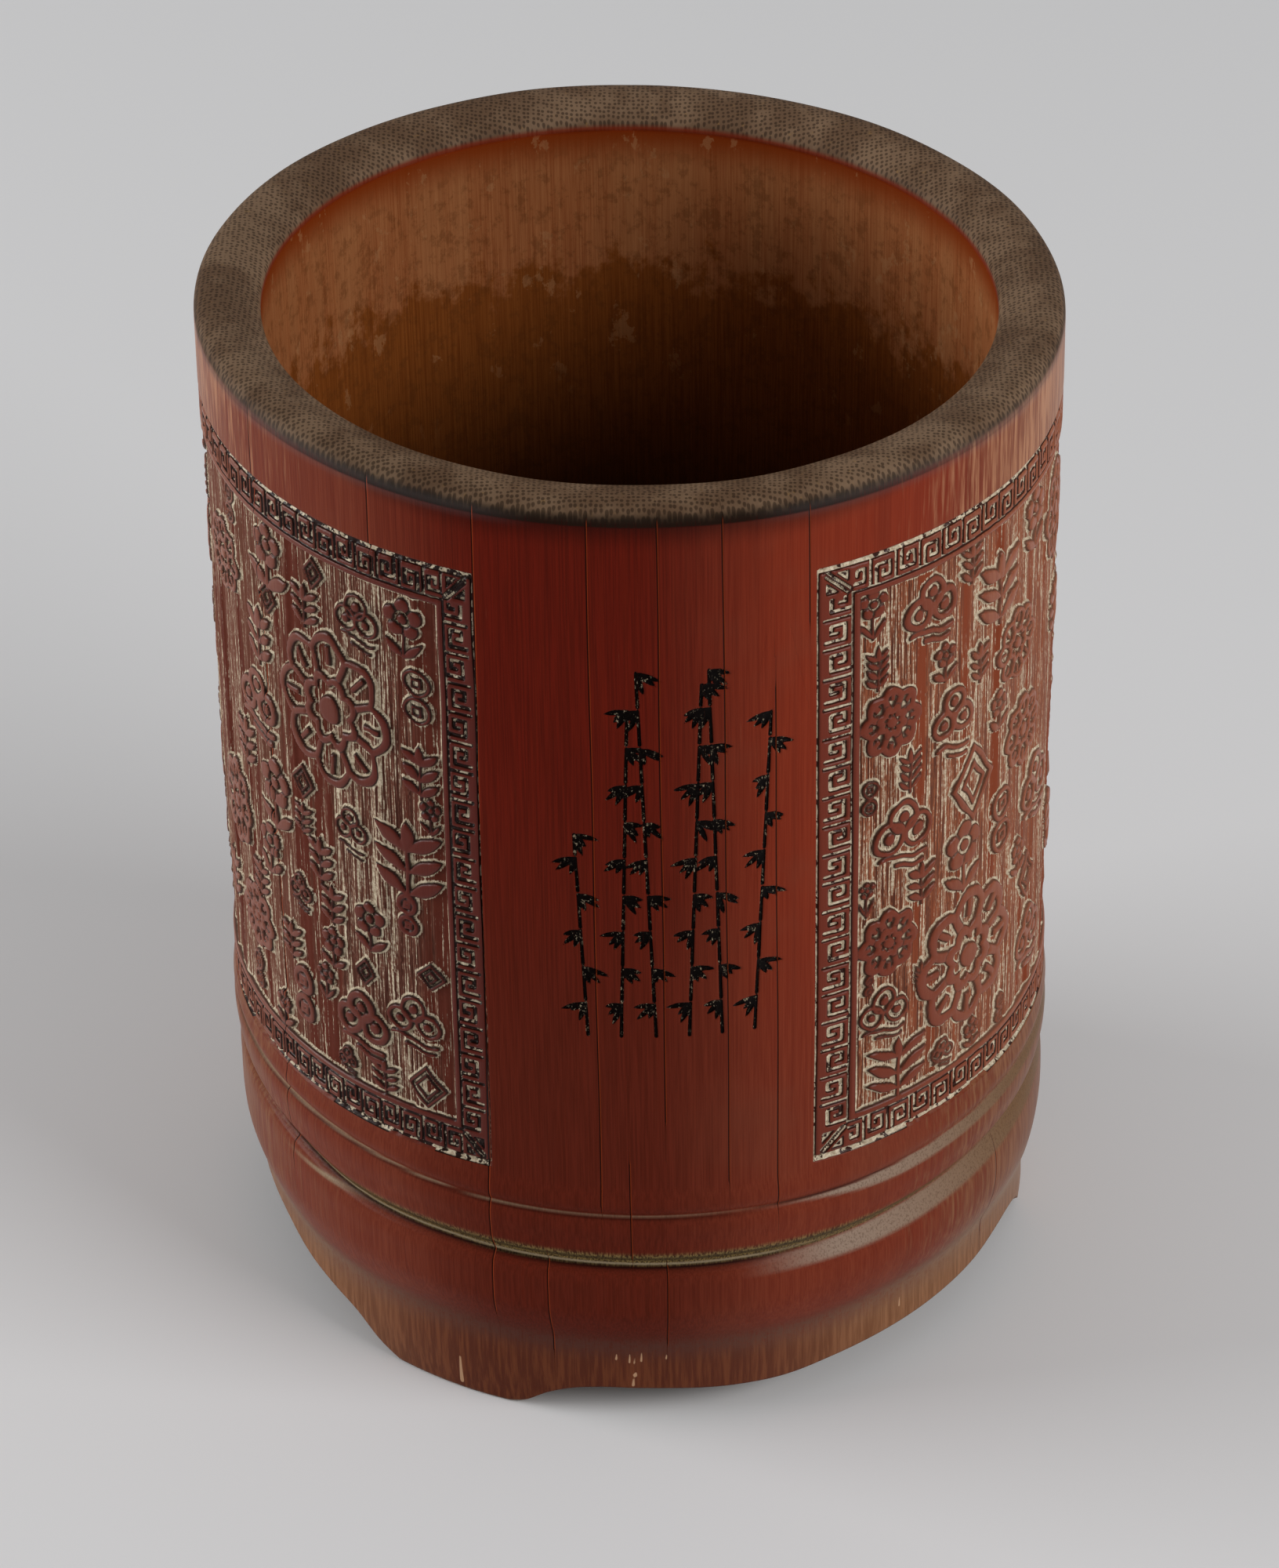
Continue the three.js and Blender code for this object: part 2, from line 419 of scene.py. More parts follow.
def corner_lines(a, b):
    """A corner block: two cuts along its diagonal, and a sunk triangle on each side."""
    size = FRET_BAND[1]
    off = np.abs(a - b) / math.sqrt(2)
    shape = FRET_LINE * 0.8 - np.abs(off - 0.34)
    for p, q in ((a, b), (b, a)):
        triangle = np.minimum((p - q) / math.sqrt(2) - 1.0, np.minimum(size - 0.5 - p, q - 1.5))
        shape = np.maximum(shape, np.minimum(triangle, 0.45 - triangle))
    inside = np.minimum(np.minimum(a, b) - 1.2, size + 0.1 - np.maximum(a, b))
    return np.minimum(shape, inside)


def border_cuts(side, end, d, v, inset, cell):
    """All the border's cut lines, positive on a line."""
    cuts = np.full_like(inset, -FAR)
    for low, high in (EDGE_CUT, INNER_CUT):
        cuts = np.maximum(cuts, (high - low) / 2 - np.abs(inset - (low + high) / 2))
    fret = np.where(side < end, fret_lines(v, side, SIDE_CELL, 0), fret_lines(d, end, cell, 1))
    corner = np.maximum(side, end) < FRET_BAND[1] + FRET_LINE
    return np.maximum(cuts, np.where(corner, corner_lines(side, end), fret))


# ---- a carved panel ---------------------------------------------------------------


def stamp(field, d, v, places, offset, facing):
    """Adds an ornament at each place to the field of signed distances.

    facing is -1 where d runs from right to left."""
    for index, (middle, level, width, tall, line) in enumerate(places):
        near_d = np.flatnonzero(np.abs(d - middle - offset) < width / 2 + FAR)
        near_v = np.flatnonzero(np.abs(v - level) < tall / 2 + FAR)
        if not len(near_d) or not len(near_v):
            continue
        window = np.ix_(near_v, near_d)
        x = facing * (d[near_d] - middle - offset)[None, :] + 0 * v[near_v][:, None]
        y = (v[near_v] - level)[:, None] + 0 * d[near_d][None, :]
        wobble = 0.10 * np.sin(1.1 * y + middle) + 0.08 * np.sin(1.7 * x + level)
        ornament = pick_ornament(index, width, tall)
        shape = ornament(x + wobble, y + wobble, width, tall, line)
        field[window] = np.maximum(field[window], shape)


def carve_panel(d, z, places, more_places, length, layout, seed):
    """The relief of one panel.

    d is the distance of each column from the panel's front edge. Gives the depth below
    the skin, the distance into the ornaments, and the distance into the cut lines."""
    v = z - PANEL_BOTTOM
    tall = PANEL_TOP - PANEL_BOTTOM
    hand_d = 0.22 * (value_noise(d, v, 30, 14, seed) - 0.5)
    hand_v = 0.30 * (value_noise(d, v, 14, 30, seed + 1) - 0.5)
    wide = d[None, :] + hand_d
    high = v[:, None] + hand_v
    side = np.minimum(wide, length - wide) * BORDER_WIDTH / layout["side"]
    end = np.minimum(high, tall - high)
    inset = np.minimum(side, end)

    motif = np.full(inset.shape, -FAR)
    stamp(motif, d, v, places, 0.0, layout["facing"])
    stamp(motif, d, v, more_places, REPEAT_AFTER, layout["facing"])
    motif = np.minimum(motif, inset - BORDER_WIDTH)
    motif = np.maximum(motif, np.minimum(BORDER_WIDTH - inset, FAR))
    cuts = border_cuts(side, end, wide, high, inset, layout["cell"])

    streak = value_noise(d, v, 0.75, 22, seed + 2)
    ribs = ramp(value_noise(d, v, 2.6, 60, seed + 3), 0.60, 0.85)
    chips = value_noise(d, v, 0.8, 0.6, seed + 4)
    ground = GROUND_DEPTH * (1 - 0.50 * ribs) + 0.26 * (streak - 0.5) + 0.10 * (chips - 0.5)
    top = 0.05 + 0.10 * (1 - ramp(motif, 0.0, 0.7))
    depth = top + (ground - top) * (1 - ramp(motif, -0.22, 0.14))

    chiselled = np.minimum(CHISEL_WIDTH - end, inset)
    rough = 0.35 + 0.5 * chips
    depth = np.maximum(depth, rough * ramp(chiselled, -0.1, 0.25))
    depth = np.maximum(depth, (0.50 + 0.30 * chips) * ramp(cuts, -0.16, 0.20))
    cuts = np.maximum(cuts, chiselled - 0.12 + 0.15 * (chips - 0.5))
    return depth * ramp(inset, -0.05, 0.25), motif, cuts, inset


# ---- the incised block on the plain front ------------------------------------------
# Bamboo stems, as (bearing, foot, top, lean to the top).

STEMS = [
    (16.0, 76.0, 132.0, 2.6),
    (11.6, 76.0, 143.0, -1.8),
    (7.2, 76.0, 138.0, 2.2),
    (2.8, 76.0, 143.5, -2.4),
    (-1.8, 76.0, 134.0, 1.6),
    (-6.2, 76.0, 112.0, -1.5),
]
JOINT_PITCH = 6.5
STEM_REACH = 8.0


def bamboo(x, y, foot, top, lean, draw):
    """A jointed stem, with leaves that hang in fans from alternate sides."""
    shape = np.full_like(x + y, -FAR)
    for i, low in enumerate(np.arange(foot, top - 3, JOINT_PITCH)):
        high = min(low + JOINT_PITCH - 0.6, top)
        start, end = (lean * (level - foot) / (top - foot) for level in (low, high))
        shape = np.maximum(shape, stroke(x, y, (start, low), (end, high), 0.26, 0.20))
        side = 1 if i % 2 else -1
        for droop in (18, 42, 68):
            angle = math.radians(droop + draw.uniform(-8, 8))
            length = draw.uniform(2.6, 4.2)
            tip = (end + side * math.cos(angle) * length, high - math.sin(angle) * length)
            shape = np.maximum(shape, leaf(x, y, (end, high), tip, 0.42))
    return shape


def incise(bearing, z):
    """Signed distance into the bamboo, on the grid of rows z and columns bearing."""
    field = np.full((len(z), len(bearing)), -FAR)
    draw = np.random.default_rng(SEED)
    for middle, foot, top, lean in STEMS:
        across = turn_between(bearing, middle) * MM_PER_DEGREE
        near_b = np.flatnonzero(np.abs(across) < STEM_REACH)
        near_z = np.flatnonzero((z > foot - 5) & (z < top + 5))
        x = across[near_b][None, :] + 0 * z[near_z][:, None]
        y = z[near_z][:, None] + 0 * across[near_b][None, :]
        window = np.ix_(near_z, near_b)
        field[window] = np.maximum(field[window], bamboo(x, y, foot, top, lean, draw))
    return field


# ---- hairline cracks, as (bearing, bottom, top, drift to the bottom) ----------------

CRACKS = [
    (-19.8, 20.0, 166.0, -0.9),
    (-5.2, 44.0, 166.5, 0.4),
    (3.6, 60.0, 166.5, 0.5),
    (11.9, 48.0, 166.5, 0.8),
    (18.6, 42.0, 136.0, 1.0),
    (23.4, 146.0, 166.0, 0.4),
    (-1.2, 34.0, 52.0, 0.3),
    (-35.0, 154.0, 166.0, 0.2),
    (-58.0, 30.0, 166.0, 0.6),
    (-13.4, 11.0, 31.0, 0.9),
    (3.4, 13.0, 31.0, 0.6),
    (60.0, 8.0, 30.0, 0.5),
    (172.0, 34.0, 166.0, 0.7),
    (183.0, 60.0, 166.0, -0.5),
    (191.0, 10.0, 120.0, 0.4),
    (112.0, 4.0, 31.0, 0.4),
    (-120.0, 5.0, 31.0, -0.4),
]


def crack_distance(bearing, z):
    """Signed distance round the pot to the nearest crack."""
    nearest = np.full((len(z), len(bearing)), FAR)
    for middle, bottom, top, drift in CRACKS:
        wander = 0.05 * np.sin(z * 0.11 + middle) + drift * (HEIGHT - z) / HEIGHT
        across = turn_between(bearing[None, :], middle + wander[:, None]) * MM_PER_DEGREE
        beyond = np.maximum(np.maximum(bottom - z, z - top), 0)[:, None] * 0.2
        gap = np.where(across < 0, across - beyond, across + beyond)
        nearest = np.where(np.abs(gap) < np.abs(nearest), gap, nearest)
    return nearest


# ---- the wall's own shape -----------------------------------------------------------

# Radius against height. Where the node line is narrow it is a groove with a dark foot;
# where it is wide, the swelling below it rises in a long slope that shows its grain, and
# the turned line above it is a slope too.
BODY = [
    (42.6, 64.4), (48, 64.4), (75, 64.7), (125, 64.95), (145, 65.0), (WALL_TOP, 65.0),
]
FOOT = [
    (-1, 60.7), (0, 60.8), (4, 61.3), (9, 61.6), (13, 61.6), (16, 61.8), (19, 63.0),
    (22, 63.9),
]
NARROW_NODE = [
    (26, 64.2), (29.4, 64.1), (30.8, 63.7), (31.3, 63.2), (31.7, 62.8), (32.1, 62.9),
    (32.9, 63.3), (34.6, 64.1), (37, 64.5), (41.0, 64.6), (41.6, 64.4), (42.0, 64.1),
]
WIDE_NODE = [
    (26, 64.35), (27.6, 64.2), (29.4, 63.7), (31.2, 63.1), (31.7, 63.0), (32.4, 63.4),
    (33.6, 64.0), (35.6, 64.4), (38, 64.7), (39.8, 64.7), (41.6, 64.2), (42.0, 64.15),
]
RIM_CURVE = [
    (65.0, WALL_TOP), (64.95, HEIGHT - 2.4), (64.7, HEIGHT - 1.5), (64.2, HEIGHT - 0.8),
    (63.3, HEIGHT - 0.25), (62.0, HEIGHT), (60.4, HEIGHT - 0.1), (58.6, HEIGHT - 0.6),
    (57.0, HEIGHT - 1.25), (56.0, HEIGHT - 1.75), (55.4, HEIGHT - 2.25),
    (55.06, HEIGHT - 2.9), (BORE_TOP_RADIUS, HEIGHT - 3.7),
]


# Heights round the pot, as (bearing, height).
NODE_COURSE = [
    (-180, 33.0), (-120, 36.0), (-75, 36.0), (-54, 33.7), (-46, 32.3), (-25, 31.5),
    (0, 31.2), (18, 31.3), (32, 32.2), (40, 33.0), (60, 34.4), (100, 35.5), (180, 33.0),
]
LINE_COURSE = [
    (-180, 42.6), (-100, 44.5), (-50, 43.5), (-25, 42.2), (0, 42.0), (22, 41.9), (32, 42.0),
    (42, 42.6), (65, 43.4), (120, 43.6), (180, 42.6),
]
# The wall's lower edge touches the ground at three feet and springs between them.
EDGE_COURSE = [
    (-180, 9.3), (-170, 7.9), (-164, 5.9), (-158, 1.8), (-154, 0.0), (-138, 0.0),
    (-134, 1.4), (-127, 5.8), (-117, 8.2), (-104, 10.6), (-90, 12.2), (-76, 12.6),
    (-67, 11.6), (-58, 8.8), (-52, 7.2), (-46.5, 5.2), (-42, 1.6), (-39, 0.0), (-20, 0.0),
    (-17.5, 0.7), (-13.5, 3.5), (-10, 5.1), (-6.5, 5.8), (0, 6.0), (14, 5.4), (21, 5.5),
    (29, 6.6), (47, 8.2), (59, 9.0), (67.5, 9.7), (72, 9.3), (76, 7.9), (80, 5.2),
    (84, 1.5), (86.5, 0.0), (102, 0.0), (105, 1.4), (110, 5.0), (117, 7.5), (130, 9.0),
    (155, 9.8), (180, 9.3),
]


def node_height(bearing):
    return smooth_curve(turn_between(bearing, 0), NODE_COURSE)


def line_height(bearing):
    return smooth_curve(turn_between(bearing, 0), LINE_COURSE)


def foot_edge(bearing):
    return np.maximum(smooth_curve(turn_between(bearing, 0), EDGE_COURSE), 0)


def hollow_height(bearing):
    """The hollow dips beside the front foot and again over the right one."""
    dip = 1.4 * bump(turn_between(bearing, -50), 0, 14)
    return HOLLOW_HEIGHT - dip - 6.5 * bump(turn_between(bearing, 94), 0, 17)


def node_width(bearing):
    """1 where the node shows its wide sloping face, 0 where it is a narrow groove."""
    side = turn_between(bearing, 0)
    right = ramp(side, 13, 30) * (1 - ramp(side, 120, 150))
    return np.maximum(right, 0.8 * bump(turn_between(bearing, -125), 0, 30))


def tan_share(bearing, z):
    """How far the red skin has worn to tan fibres: not at the front, much at the sides,
    and further round at the foot."""
    side = turn_between(bearing, 0)
    worn = np.maximum(0.8 * ramp(-side, 28, 84), ramp(side, 22, 72))
    worn_foot = np.maximum(0.85 * ramp(-side, 16, 66), ramp(side, 4, 56))
    worn = worn + (worn_foot - worn) * (1 - ramp(z, 12, 19))
    return worn * (1 - 0.5 * ramp(np.abs(side), 120, 170))


def outer_radius(bearing, z):
    """The wall's outside before it is carved. bearing and z have the same shape."""
    hollow = hollow_height(bearing)
    level = z - (hollow - HOLLOW_HEIGHT) * bump(z, hollow, 8)
    level = level - (node_height(bearing) - NODE_HEIGHT) * bump(z, NODE_HEIGHT + 1, 6)
    level = level - (line_height(bearing) - LINE_HEIGHT) * bump(z, LINE_HEIGHT + 1, 4)
    narrow = smooth_curve(level, FOOT + NARROW_NODE + BODY)
    wide = smooth_curve(level, FOOT + WIDE_NODE + BODY)
    share = node_width(bearing)
    return narrow * (1 - share) + wide * share


# ---- the grid -------------------------------------------------------------------------


def spaced(low, high, step):
    return np.linspace(low, high, max(2, int(round((high - low) / step)) + 1))


def grid_bearings(scale):
    """Column bearings once round the pot, from the middle of the back."""
    stretches = [
        (-180.0, LEFT_PANEL[0], COARSE_STEP),
        (*LEFT_PANEL, FINE_STEP),
        (LEFT_PANEL[1], RIGHT_PANEL[0], FIELD_STEP),
        (*RIGHT_PANEL, FINE_STEP),
        (RIGHT_PANEL[1], 180.0, COARSE_STEP),
    ]
    parts = [spaced(a, b, step * scale / MM_PER_DEGREE)[:-1] for a, b, step in stretches]
    return np.concatenate(parts)


def grid_heights(scale):
    """Row heights on the outside, from the foot edge to the rim's rounding."""
    stretches = [
        (EDGE_ROUNDING, FOOT_TOP, 0.42),
        (FOOT_TOP, PANEL_BOTTOM - 0.6, 0.36),
        (PANEL_BOTTOM - 0.6, PANEL_TOP + 0.6, FINE_STEP),
        (PANEL_TOP + 0.6, WALL_TOP, 0.5),
    ]
    parts = [spaced(a, b, step * scale)[:-1] for a, b, step in stretches]
    return np.concatenate(parts + [[WALL_TOP]])


def along_curve(points, step):
    """Points along a smooth curve through (radius, height) points, evenly spaced."""
    points = np.array(points, float)
    ticks = np.arange(len(points))
    dense = np.linspace(0, len(points) - 1, 400)
    r = smooth_curve(dense, list(zip(ticks, points[:, 0])))
    z = smooth_curve(dense, list(zip(ticks, points[:, 1])))
    run = np.concatenate([[0], np.cumsum(np.hypot(np.diff(r), np.diff(z)))])
    stops = np.linspace(0, run[-1], max(3, int(run[-1] / step)))
    return np.interp(stops, run, r), np.interp(stops, run, z)


class Shell:
    """Rows of the culm's surface, each as long as there are columns, with their marks."""

    MARKS = {
        "motif": FAR,        # distance into an ornament or the raised border
        "cut": -FAR,         # distance into a border line
        "ink": -FAR,         # distance into the incised bamboo
        "fleck": -FAR,       # distance into a pale chip
        "crack": FAR,        # distance to a crack
        "panel": 0.0,        # 1 inside a panel
        "endgrain": 0.0,     # 1 on the rim and the soles
        "fringe": 0.0,       # 1 at an edge where the skin frays into dark fibres
        "stain": 0.0,        # how far the skin darkens towards the rim
        "olive": 0.0,        # 1 in the bare strip above the node's dark line
        "pale": 0.0,         # 1 on the pale hairlines of the node and the turned line, and on a painted highlight under the node at the left
        "band": 0.0,         # 1 on the node's and the turned line's sloping faces, whose pale grey is partly painted sheen
        "dark": 0.0,         # 1 in the dark foot of a groove
        "haze": 0.0,         # 1 in the grey hollow above the foot band
        "foot": 0.0,         # 1 on the foot band
        "tan": 0.0,          # how far the red skin has worn to tan fibres
        "deep": 0.0,         # 1 where the skin is a deeper, darker red
        "ruddy": 0.0,        # 1 where it is a brighter red
        "sunny": 0.0,        # 1 on the right side, where the carving's colours are lighter
        "lip": 0.0,          # 1 on the red inner edge of the rim
        "polish": 0.0,       # how polished the rubbed edges are
        "bore": 0.0,         # 1 inside
    }

    def __init__(self, bearing):
        self.bearing = bearing
        self.radius = []
        self.height = []
        self.marks = {name: [] for name in self.MARKS}
        self.sections = []

    def add(self, section, radius, height, **marks):
        """Adds rows. radius and height are arrays of rows by columns."""
        shape = (len(radius), len(self.bearing))
        self.radius.append(np.broadcast_to(radius, shape))
        self.height.append(np.broadcast_to(height, shape))
        for name, default in self.MARKS.items():
            value = marks.get(name, default)
            self.marks[name].append(np.broadcast_to(np.asarray(value, float), shape))
        self.sections.append((section, shape[0]))

    def rows(self):
        return sum(count for _, count in self.sections)


def add_outside(shell, scale):
    """The carved outside, from the rounded foot edge up to the rim."""
    bearing = shell.bearing
    level = grid_heights(scale)
    edge = foot_edge(bearing)[None, :]
    lifted = np.where(
        level[:, None] < FOOT_TOP,
        edge + level[:, None] * (FOOT_TOP - edge) / FOOT_TOP,
        level[:, None],
    )
    around = np.broadcast_to(bearing[None, :], lifted.shape)
    radius = outer_radius(around, lifted)

    motif = np.full(radius.shape, FAR)
    cut = np.full(radius.shape, -FAR)
    depth = np.zeros(radius.shape)
    panel = np.zeros(radius.shape)
    rows = np.flatnonzero((level > PANEL_BOTTOM - 1) & (level < PANEL_TOP + 1))
    for (start, end), front, own, other, layout, seed in (
        (LEFT_PANEL, LEFT_PANEL[1], LEFT_PLACES, RIGHT_PLACES, LEFT_LAYOUT, 20),
        (RIGHT_PANEL, RIGHT_PANEL[0], RIGHT_PLACES, LEFT_PLACES, RIGHT_LAYOUT, 40),
    ):
        columns = np.flatnonzero((bearing > start - 1) & (bearing < end + 1))
        beyond = (bearing[columns] < start) | (bearing[columns] > end)
        distance = np.abs(bearing[columns] - front) * MM_PER_DEGREE
        distance = np.where(beyond, -0.5, distance)
        length = (end - start) * MM_PER_DEGREE
        window = np.ix_(rows, columns)
        carved = carve_panel(distance, level[rows], own, other, length, layout, seed)
        depth[window], inset = carved[0], carved[3]
        motif[window] = np.where(inset > 0, carved[1], FAR)
        cut[window] = np.where(inset > 0, carved[2], -FAR)
        panel[window] = ramp(inset, 0.0, 0.4)

    ink = incise(bearing, level)
    depth = depth + 0.45 * ramp(ink, -0.14, 0.26)
    radius = radius - depth

    marks = wall_marks(around, lifted)
    marks.update(motif=motif, cut=cut, ink=ink, panel=panel)
    marks["crack"] = crack_distance(bearing, level)
    shell.add("outside", radius, lifted, **marks)


def wall_marks(bearing, z):
    """Where each kind of surface shows on the outside."""
    node = node_height(bearing)
    line = line_height(bearing)
    wide = node_width(bearing)
    tan = tan_share(bearing, z)
    side = turn_between(bearing, 0)

    fringe_top = np.maximum(FRINGE_TOP, node + 1.3)
    olive = 1 - ramp(z, fringe_top - 0.9, fringe_top + 0.5)
    olive = ramp(z, node - 0.1, node + 0.15) * olive
    frayed_node = 0.75 * bump(z, fringe_top - 0.2 - 0.3 * (fringe_top - node) * (1 - tan), 0.7)
    frayed_rim = 1 - ramp(HEIGHT - z, 1.0, 3.2)
    at_front = ramp(side, -45, -20) * (1 - ramp(side, 18, 45))
    stain = 1 - ramp(HEIGHT - z, 1.5, 4.5 + 3.4 * at_front)
    node_hairline = 1 - ramp(np.abs(z - node - 0.75), 0.2, 0.5)
    thin = 0.10 + 0.12 * ramp(-side, 25, 50)
    turned_hairline = 1 - ramp(np.abs(z - line + 0.1), 0.5 * thin, 2 * thin)
    turned_hairline = (0.35 + 0.30 * ramp(-side, 5, 30)) * turned_hairline
    pale = np.maximum(node_hairline * (1 - wide), turned_hairline * (1 - wide))
    glint = bump(z, 31.7, 0.35) * bump(side, -50, 6)

    face_low = node - 2.5 - 1.4 * ramp(side, 14, 45)
    face = ramp(z, face_low - 0.6, face_low + 0.4) * (1 - ramp(z, node - 0.5, node + 0.1))
    slope = 0.25 + 1.9 * ramp(side, 18, 42) * (1 - ramp(side, 100, 140))
    turned = (1 - ramp(z, line - 0.25, line)) * ramp(z, line - slope - 0.35, line - slope + 0.25)
    groove = bump(z, line + 0.12, 0.24) * ramp(side, 12, 24) * (1 - ramp(side, 30, 45))
    under_line = 0.55 * bump(z, line - 0.45, 0.25) * (1 - ramp(side, 8, 20))
    return {
        "fringe": np.maximum(frayed_rim, frayed_node * (1 - 0.4 * tan)),
        "olive": olive,
        # The glint is a painted highlight: a short pale line under the node at the left.
        "pale": np.maximum(pale, glint),
        "band": np.maximum(face * wide, turned * wide),
        "dark": np.maximum(bump(z, node, 0.34) * (1 - wide), np.maximum(groove, under_line)),
        "haze": bump(z, hollow_height(bearing) - 0.7 + 2.2 * tan, 2.1 + 1.5 * tan),
        "foot": 1 - ramp(z, hollow_height(bearing) - 3.5, hollow_height(bearing) + 0.5),
        "polish": 0.4 * bump(HEIGHT - z, 3.4, 0.7) * shining_rim(bearing),
        "stain": stain,
        "tan": tan,
        "deep": ramp(side, -42, -17) * (1 - ramp(side, 0, 24)),
        "ruddy": ramp(side, 2, 22) * (1 - ramp(side, 36, 60)) * (0.25 + 0.75 * ramp(z, 45, 110)),
        "sunny": ramp(side, 10, 26),
        "fleck": chips(bearing, z),
    }


def shining_rim(bearing):
    """How polished the rim's edge is: most on both sides of the front, as in the photo."""
    side = turn_between(bearing, 0)
    left = ramp(side, -75, -50) * (1 - ramp(side, -22, -10))
    right = ramp(side, 14, 24) * (1 - ramp(side, 50, 80))
    return np.maximum(0.04, np.maximum(left, right))


# Pale chips at the foot, as (bearing, middle height, half length, half width).
CHIPS = [
    (-3.5, 12.5, 0.5, 0.16),
    (-1.6, 12.3, 0.8, 0.14),
    (-0.9, 11.8, 0.5, 0.12),
    (0.1, 12.6, 0.8, 0.15),
    (3.7, 12.6, 0.4, 0.13),
    (-0.8, 9.2, 0.2, 0.34),
    (-1.1, 7.6, 0.7, 0.22),
    (-27.4, 4.2, 2.6, 0.34),
    (41.0, 12.0, 0.8, 0.14),
]


def chips(bearing, z):
    """Signed distance into the nearest pale chip."""
    nearest = np.full(bearing.shape, -FAR)
    for middle, level, reach, half in CHIPS:
        across = turn_between(bearing, middle) * MM_PER_DEGREE
        chip = stroke(across, z, (0, level - reach), (0.1, level + reach), half, half * 0.4)
        nearest = np.maximum(nearest, chip)
    return nearest


def add_rim(shell, scale):
    """Over the rim, from the outside's top row to the top of the bore."""
    radius, height = along_curve(RIM_CURVE, 0.32 * scale)
    radius, height = radius[1:], height[1:]
    around = shell.bearing * MM_PER_DEGREE
    uneven = value_noise(around, height, 16, 9, SEED + 8) - 0.5
    uneven *= ramp(height, WALL_TOP, HEIGHT - 1)[:, None]
    inward = ((RIM_RADIUS - radius) / (RIM_RADIUS - BORE_TOP_RADIUS))[:, None]
    drop = (HEIGHT - height)[:, None]
    outer = inward < 0.3
    side = turn_between(shell.bearing, 0)[None, :]
    darker = 0.10 + 0.25 * bump(side, -32, 26)
    at_front = ramp(side, -62, -30) * (1 - ramp(side, 22, 50))
    edge_black = (0.45 + 0.47 * at_front) * ramp(drop, 0.8, 2.2) * outer
    blackened = np.maximum(darker * (1 - ramp(inward, 0.0, 0.5)), edge_black)
    crack = crack_distance(shell.bearing, np.minimum(height, HEIGHT))
    edge_shine = outer * bump(drop, 2.6, 0.8) * shining_rim(shell.bearing)[None, :]
    lip = np.where(outer, 0, ramp(drop, 2.7, 3.5))
    shell.add(
        "rim",
        radius[:, None],
        height[:, None] + 0.35 * uneven,
        endgrain=np.where(outer, 1 - ramp(drop, 1.9, 2.9), 1.0),
        fringe=blackened,
        stain=np.where(outer, 0.5 + 0.5 * at_front, 0.0),
        tan=np.where(outer, tan_share(shell.bearing, WALL_TOP)[None, :], 0.0),
        deep=at_front,
        lip=lip,
        polish=np.maximum(0.5 * edge_shine, 0.4 * lip),
        crack=np.where(outer, crack, FAR),
    )


def add_bore(shell, scale):
    """Down the inside to the ledge that carries the floor."""
    lip = RIM_CURVE[-1][1]
    under_lip = lip - np.array([0.3, 0.7, 1.2, 2.0])
    lower = spaced(LEDGE_TOP + 0.2, lip - 3, 2.2 * scale)[::-1]
    height = np.concatenate([under_lip, lower])
    share = (height - LEDGE_TOP) / (lip - LEDGE_TOP)
    radius = BORE_FLOOR_RADIUS + (BORE_TOP_RADIUS - BORE_FLOOR_RADIUS) * share
    wave = value_noise(shell.bearing * MM_PER_DEGREE, height, 9, 30, SEED + 9)
    wave = 0.22 * wave * ramp(height, LEDGE_TOP + 8, LEDGE_TOP + 20)[:, None]
    shell.add(
        "bore",
        radius[:, None] + wave,
        height[:, None],
        bore=1.0,
        lip=(1 - ramp(lip - height, 0.0, 0.6))[:, None],
        polish=0.35 * (1 - ramp(lip - height, 0.0, 0.9))[:, None],
    )


def add_underside(shell, scale):
    """The ledge, the inside of the foot ring and the feet's soles."""
    edge = foot_edge(shell.bearing)[None, :]
    ledge = [
        (BORE_FLOOR_RADIUS - 0.2, LEDGE_TOP),
        (LEDGE_RADIUS + 0.4, LEDGE_TOP),
        (LEDGE_RADIUS, LEDGE_TOP - 0.4),
        (LEDGE_RADIUS, LEDGE_BOTTOM + 0.4),
        (LEDGE_RADIUS + 0.4, LEDGE_BOTTOM),
        (FOOT_RING_RADIUS - 1.4, LEDGE_BOTTOM - 1.4),
        (FOOT_RING_RADIUS, LEDGE_BOTTOM - 3.2),
    ]
    radius, height = np.array(ledge).T
    shell.add("ledge", radius[:, None], height[:, None], bore=0.6)

    share = spaced(0, 1, 0.09 * scale)[1:-1][:, None]
    top = LEDGE_BOTTOM - 3.2
    height = top + (edge + EDGE_ROUNDING - top) * share
    shell.add("foot_inside", np.full(height.shape, FOOT_RING_RADIUS), height, bore=0.6)

    sole = spaced(FOOT_RING_RADIUS, FOOT[1][1], 0.8 * scale)
    inner, outer = sole[0] + EDGE_ROUNDING * 0.3, sole[-1] - EDGE_ROUNDING * 0.3
    radius = np.concatenate([[sole[0]], [inner], sole[1:-1], [outer]])
    rise = np.full(len(radius), 0.0)
    rise[0] = EDGE_ROUNDING
    rise[1] = rise[-1] = EDGE_ROUNDING * 0.3
    shell.add("sole", radius[:, None], edge + rise[:, None], endgrain=1.0, tan=0.4)


# ---- from rows to a mesh ----------------------------------------------------------------


def new_object(name, data):
    thing = bpy.data.objects.new(name, data)
    bpy.context.collection.objects.link(thing)
    return thing


# Each section's strip in the texture square: (left, right, bottom, top). The outside
# takes two strips, one for each half of the way round.
STRIPS = {
    "outside": [(0.0, 1.0, 0.0, 0.40), (0.0, 1.0, 0.405, 0.805)],
    "rim": [(0.0, 1.0, 0.81, 0.87)],
    "bore": [(0.0, 1.0, 0.875, 0.95)],
    "ledge": [(0.0, 1.0, 0.955, 0.965)],
    "foot_inside": [(0.0, 1.0, 0.97, 0.98)],
    "sole": [(0.0, 1.0, 0.985, 0.998)],
}


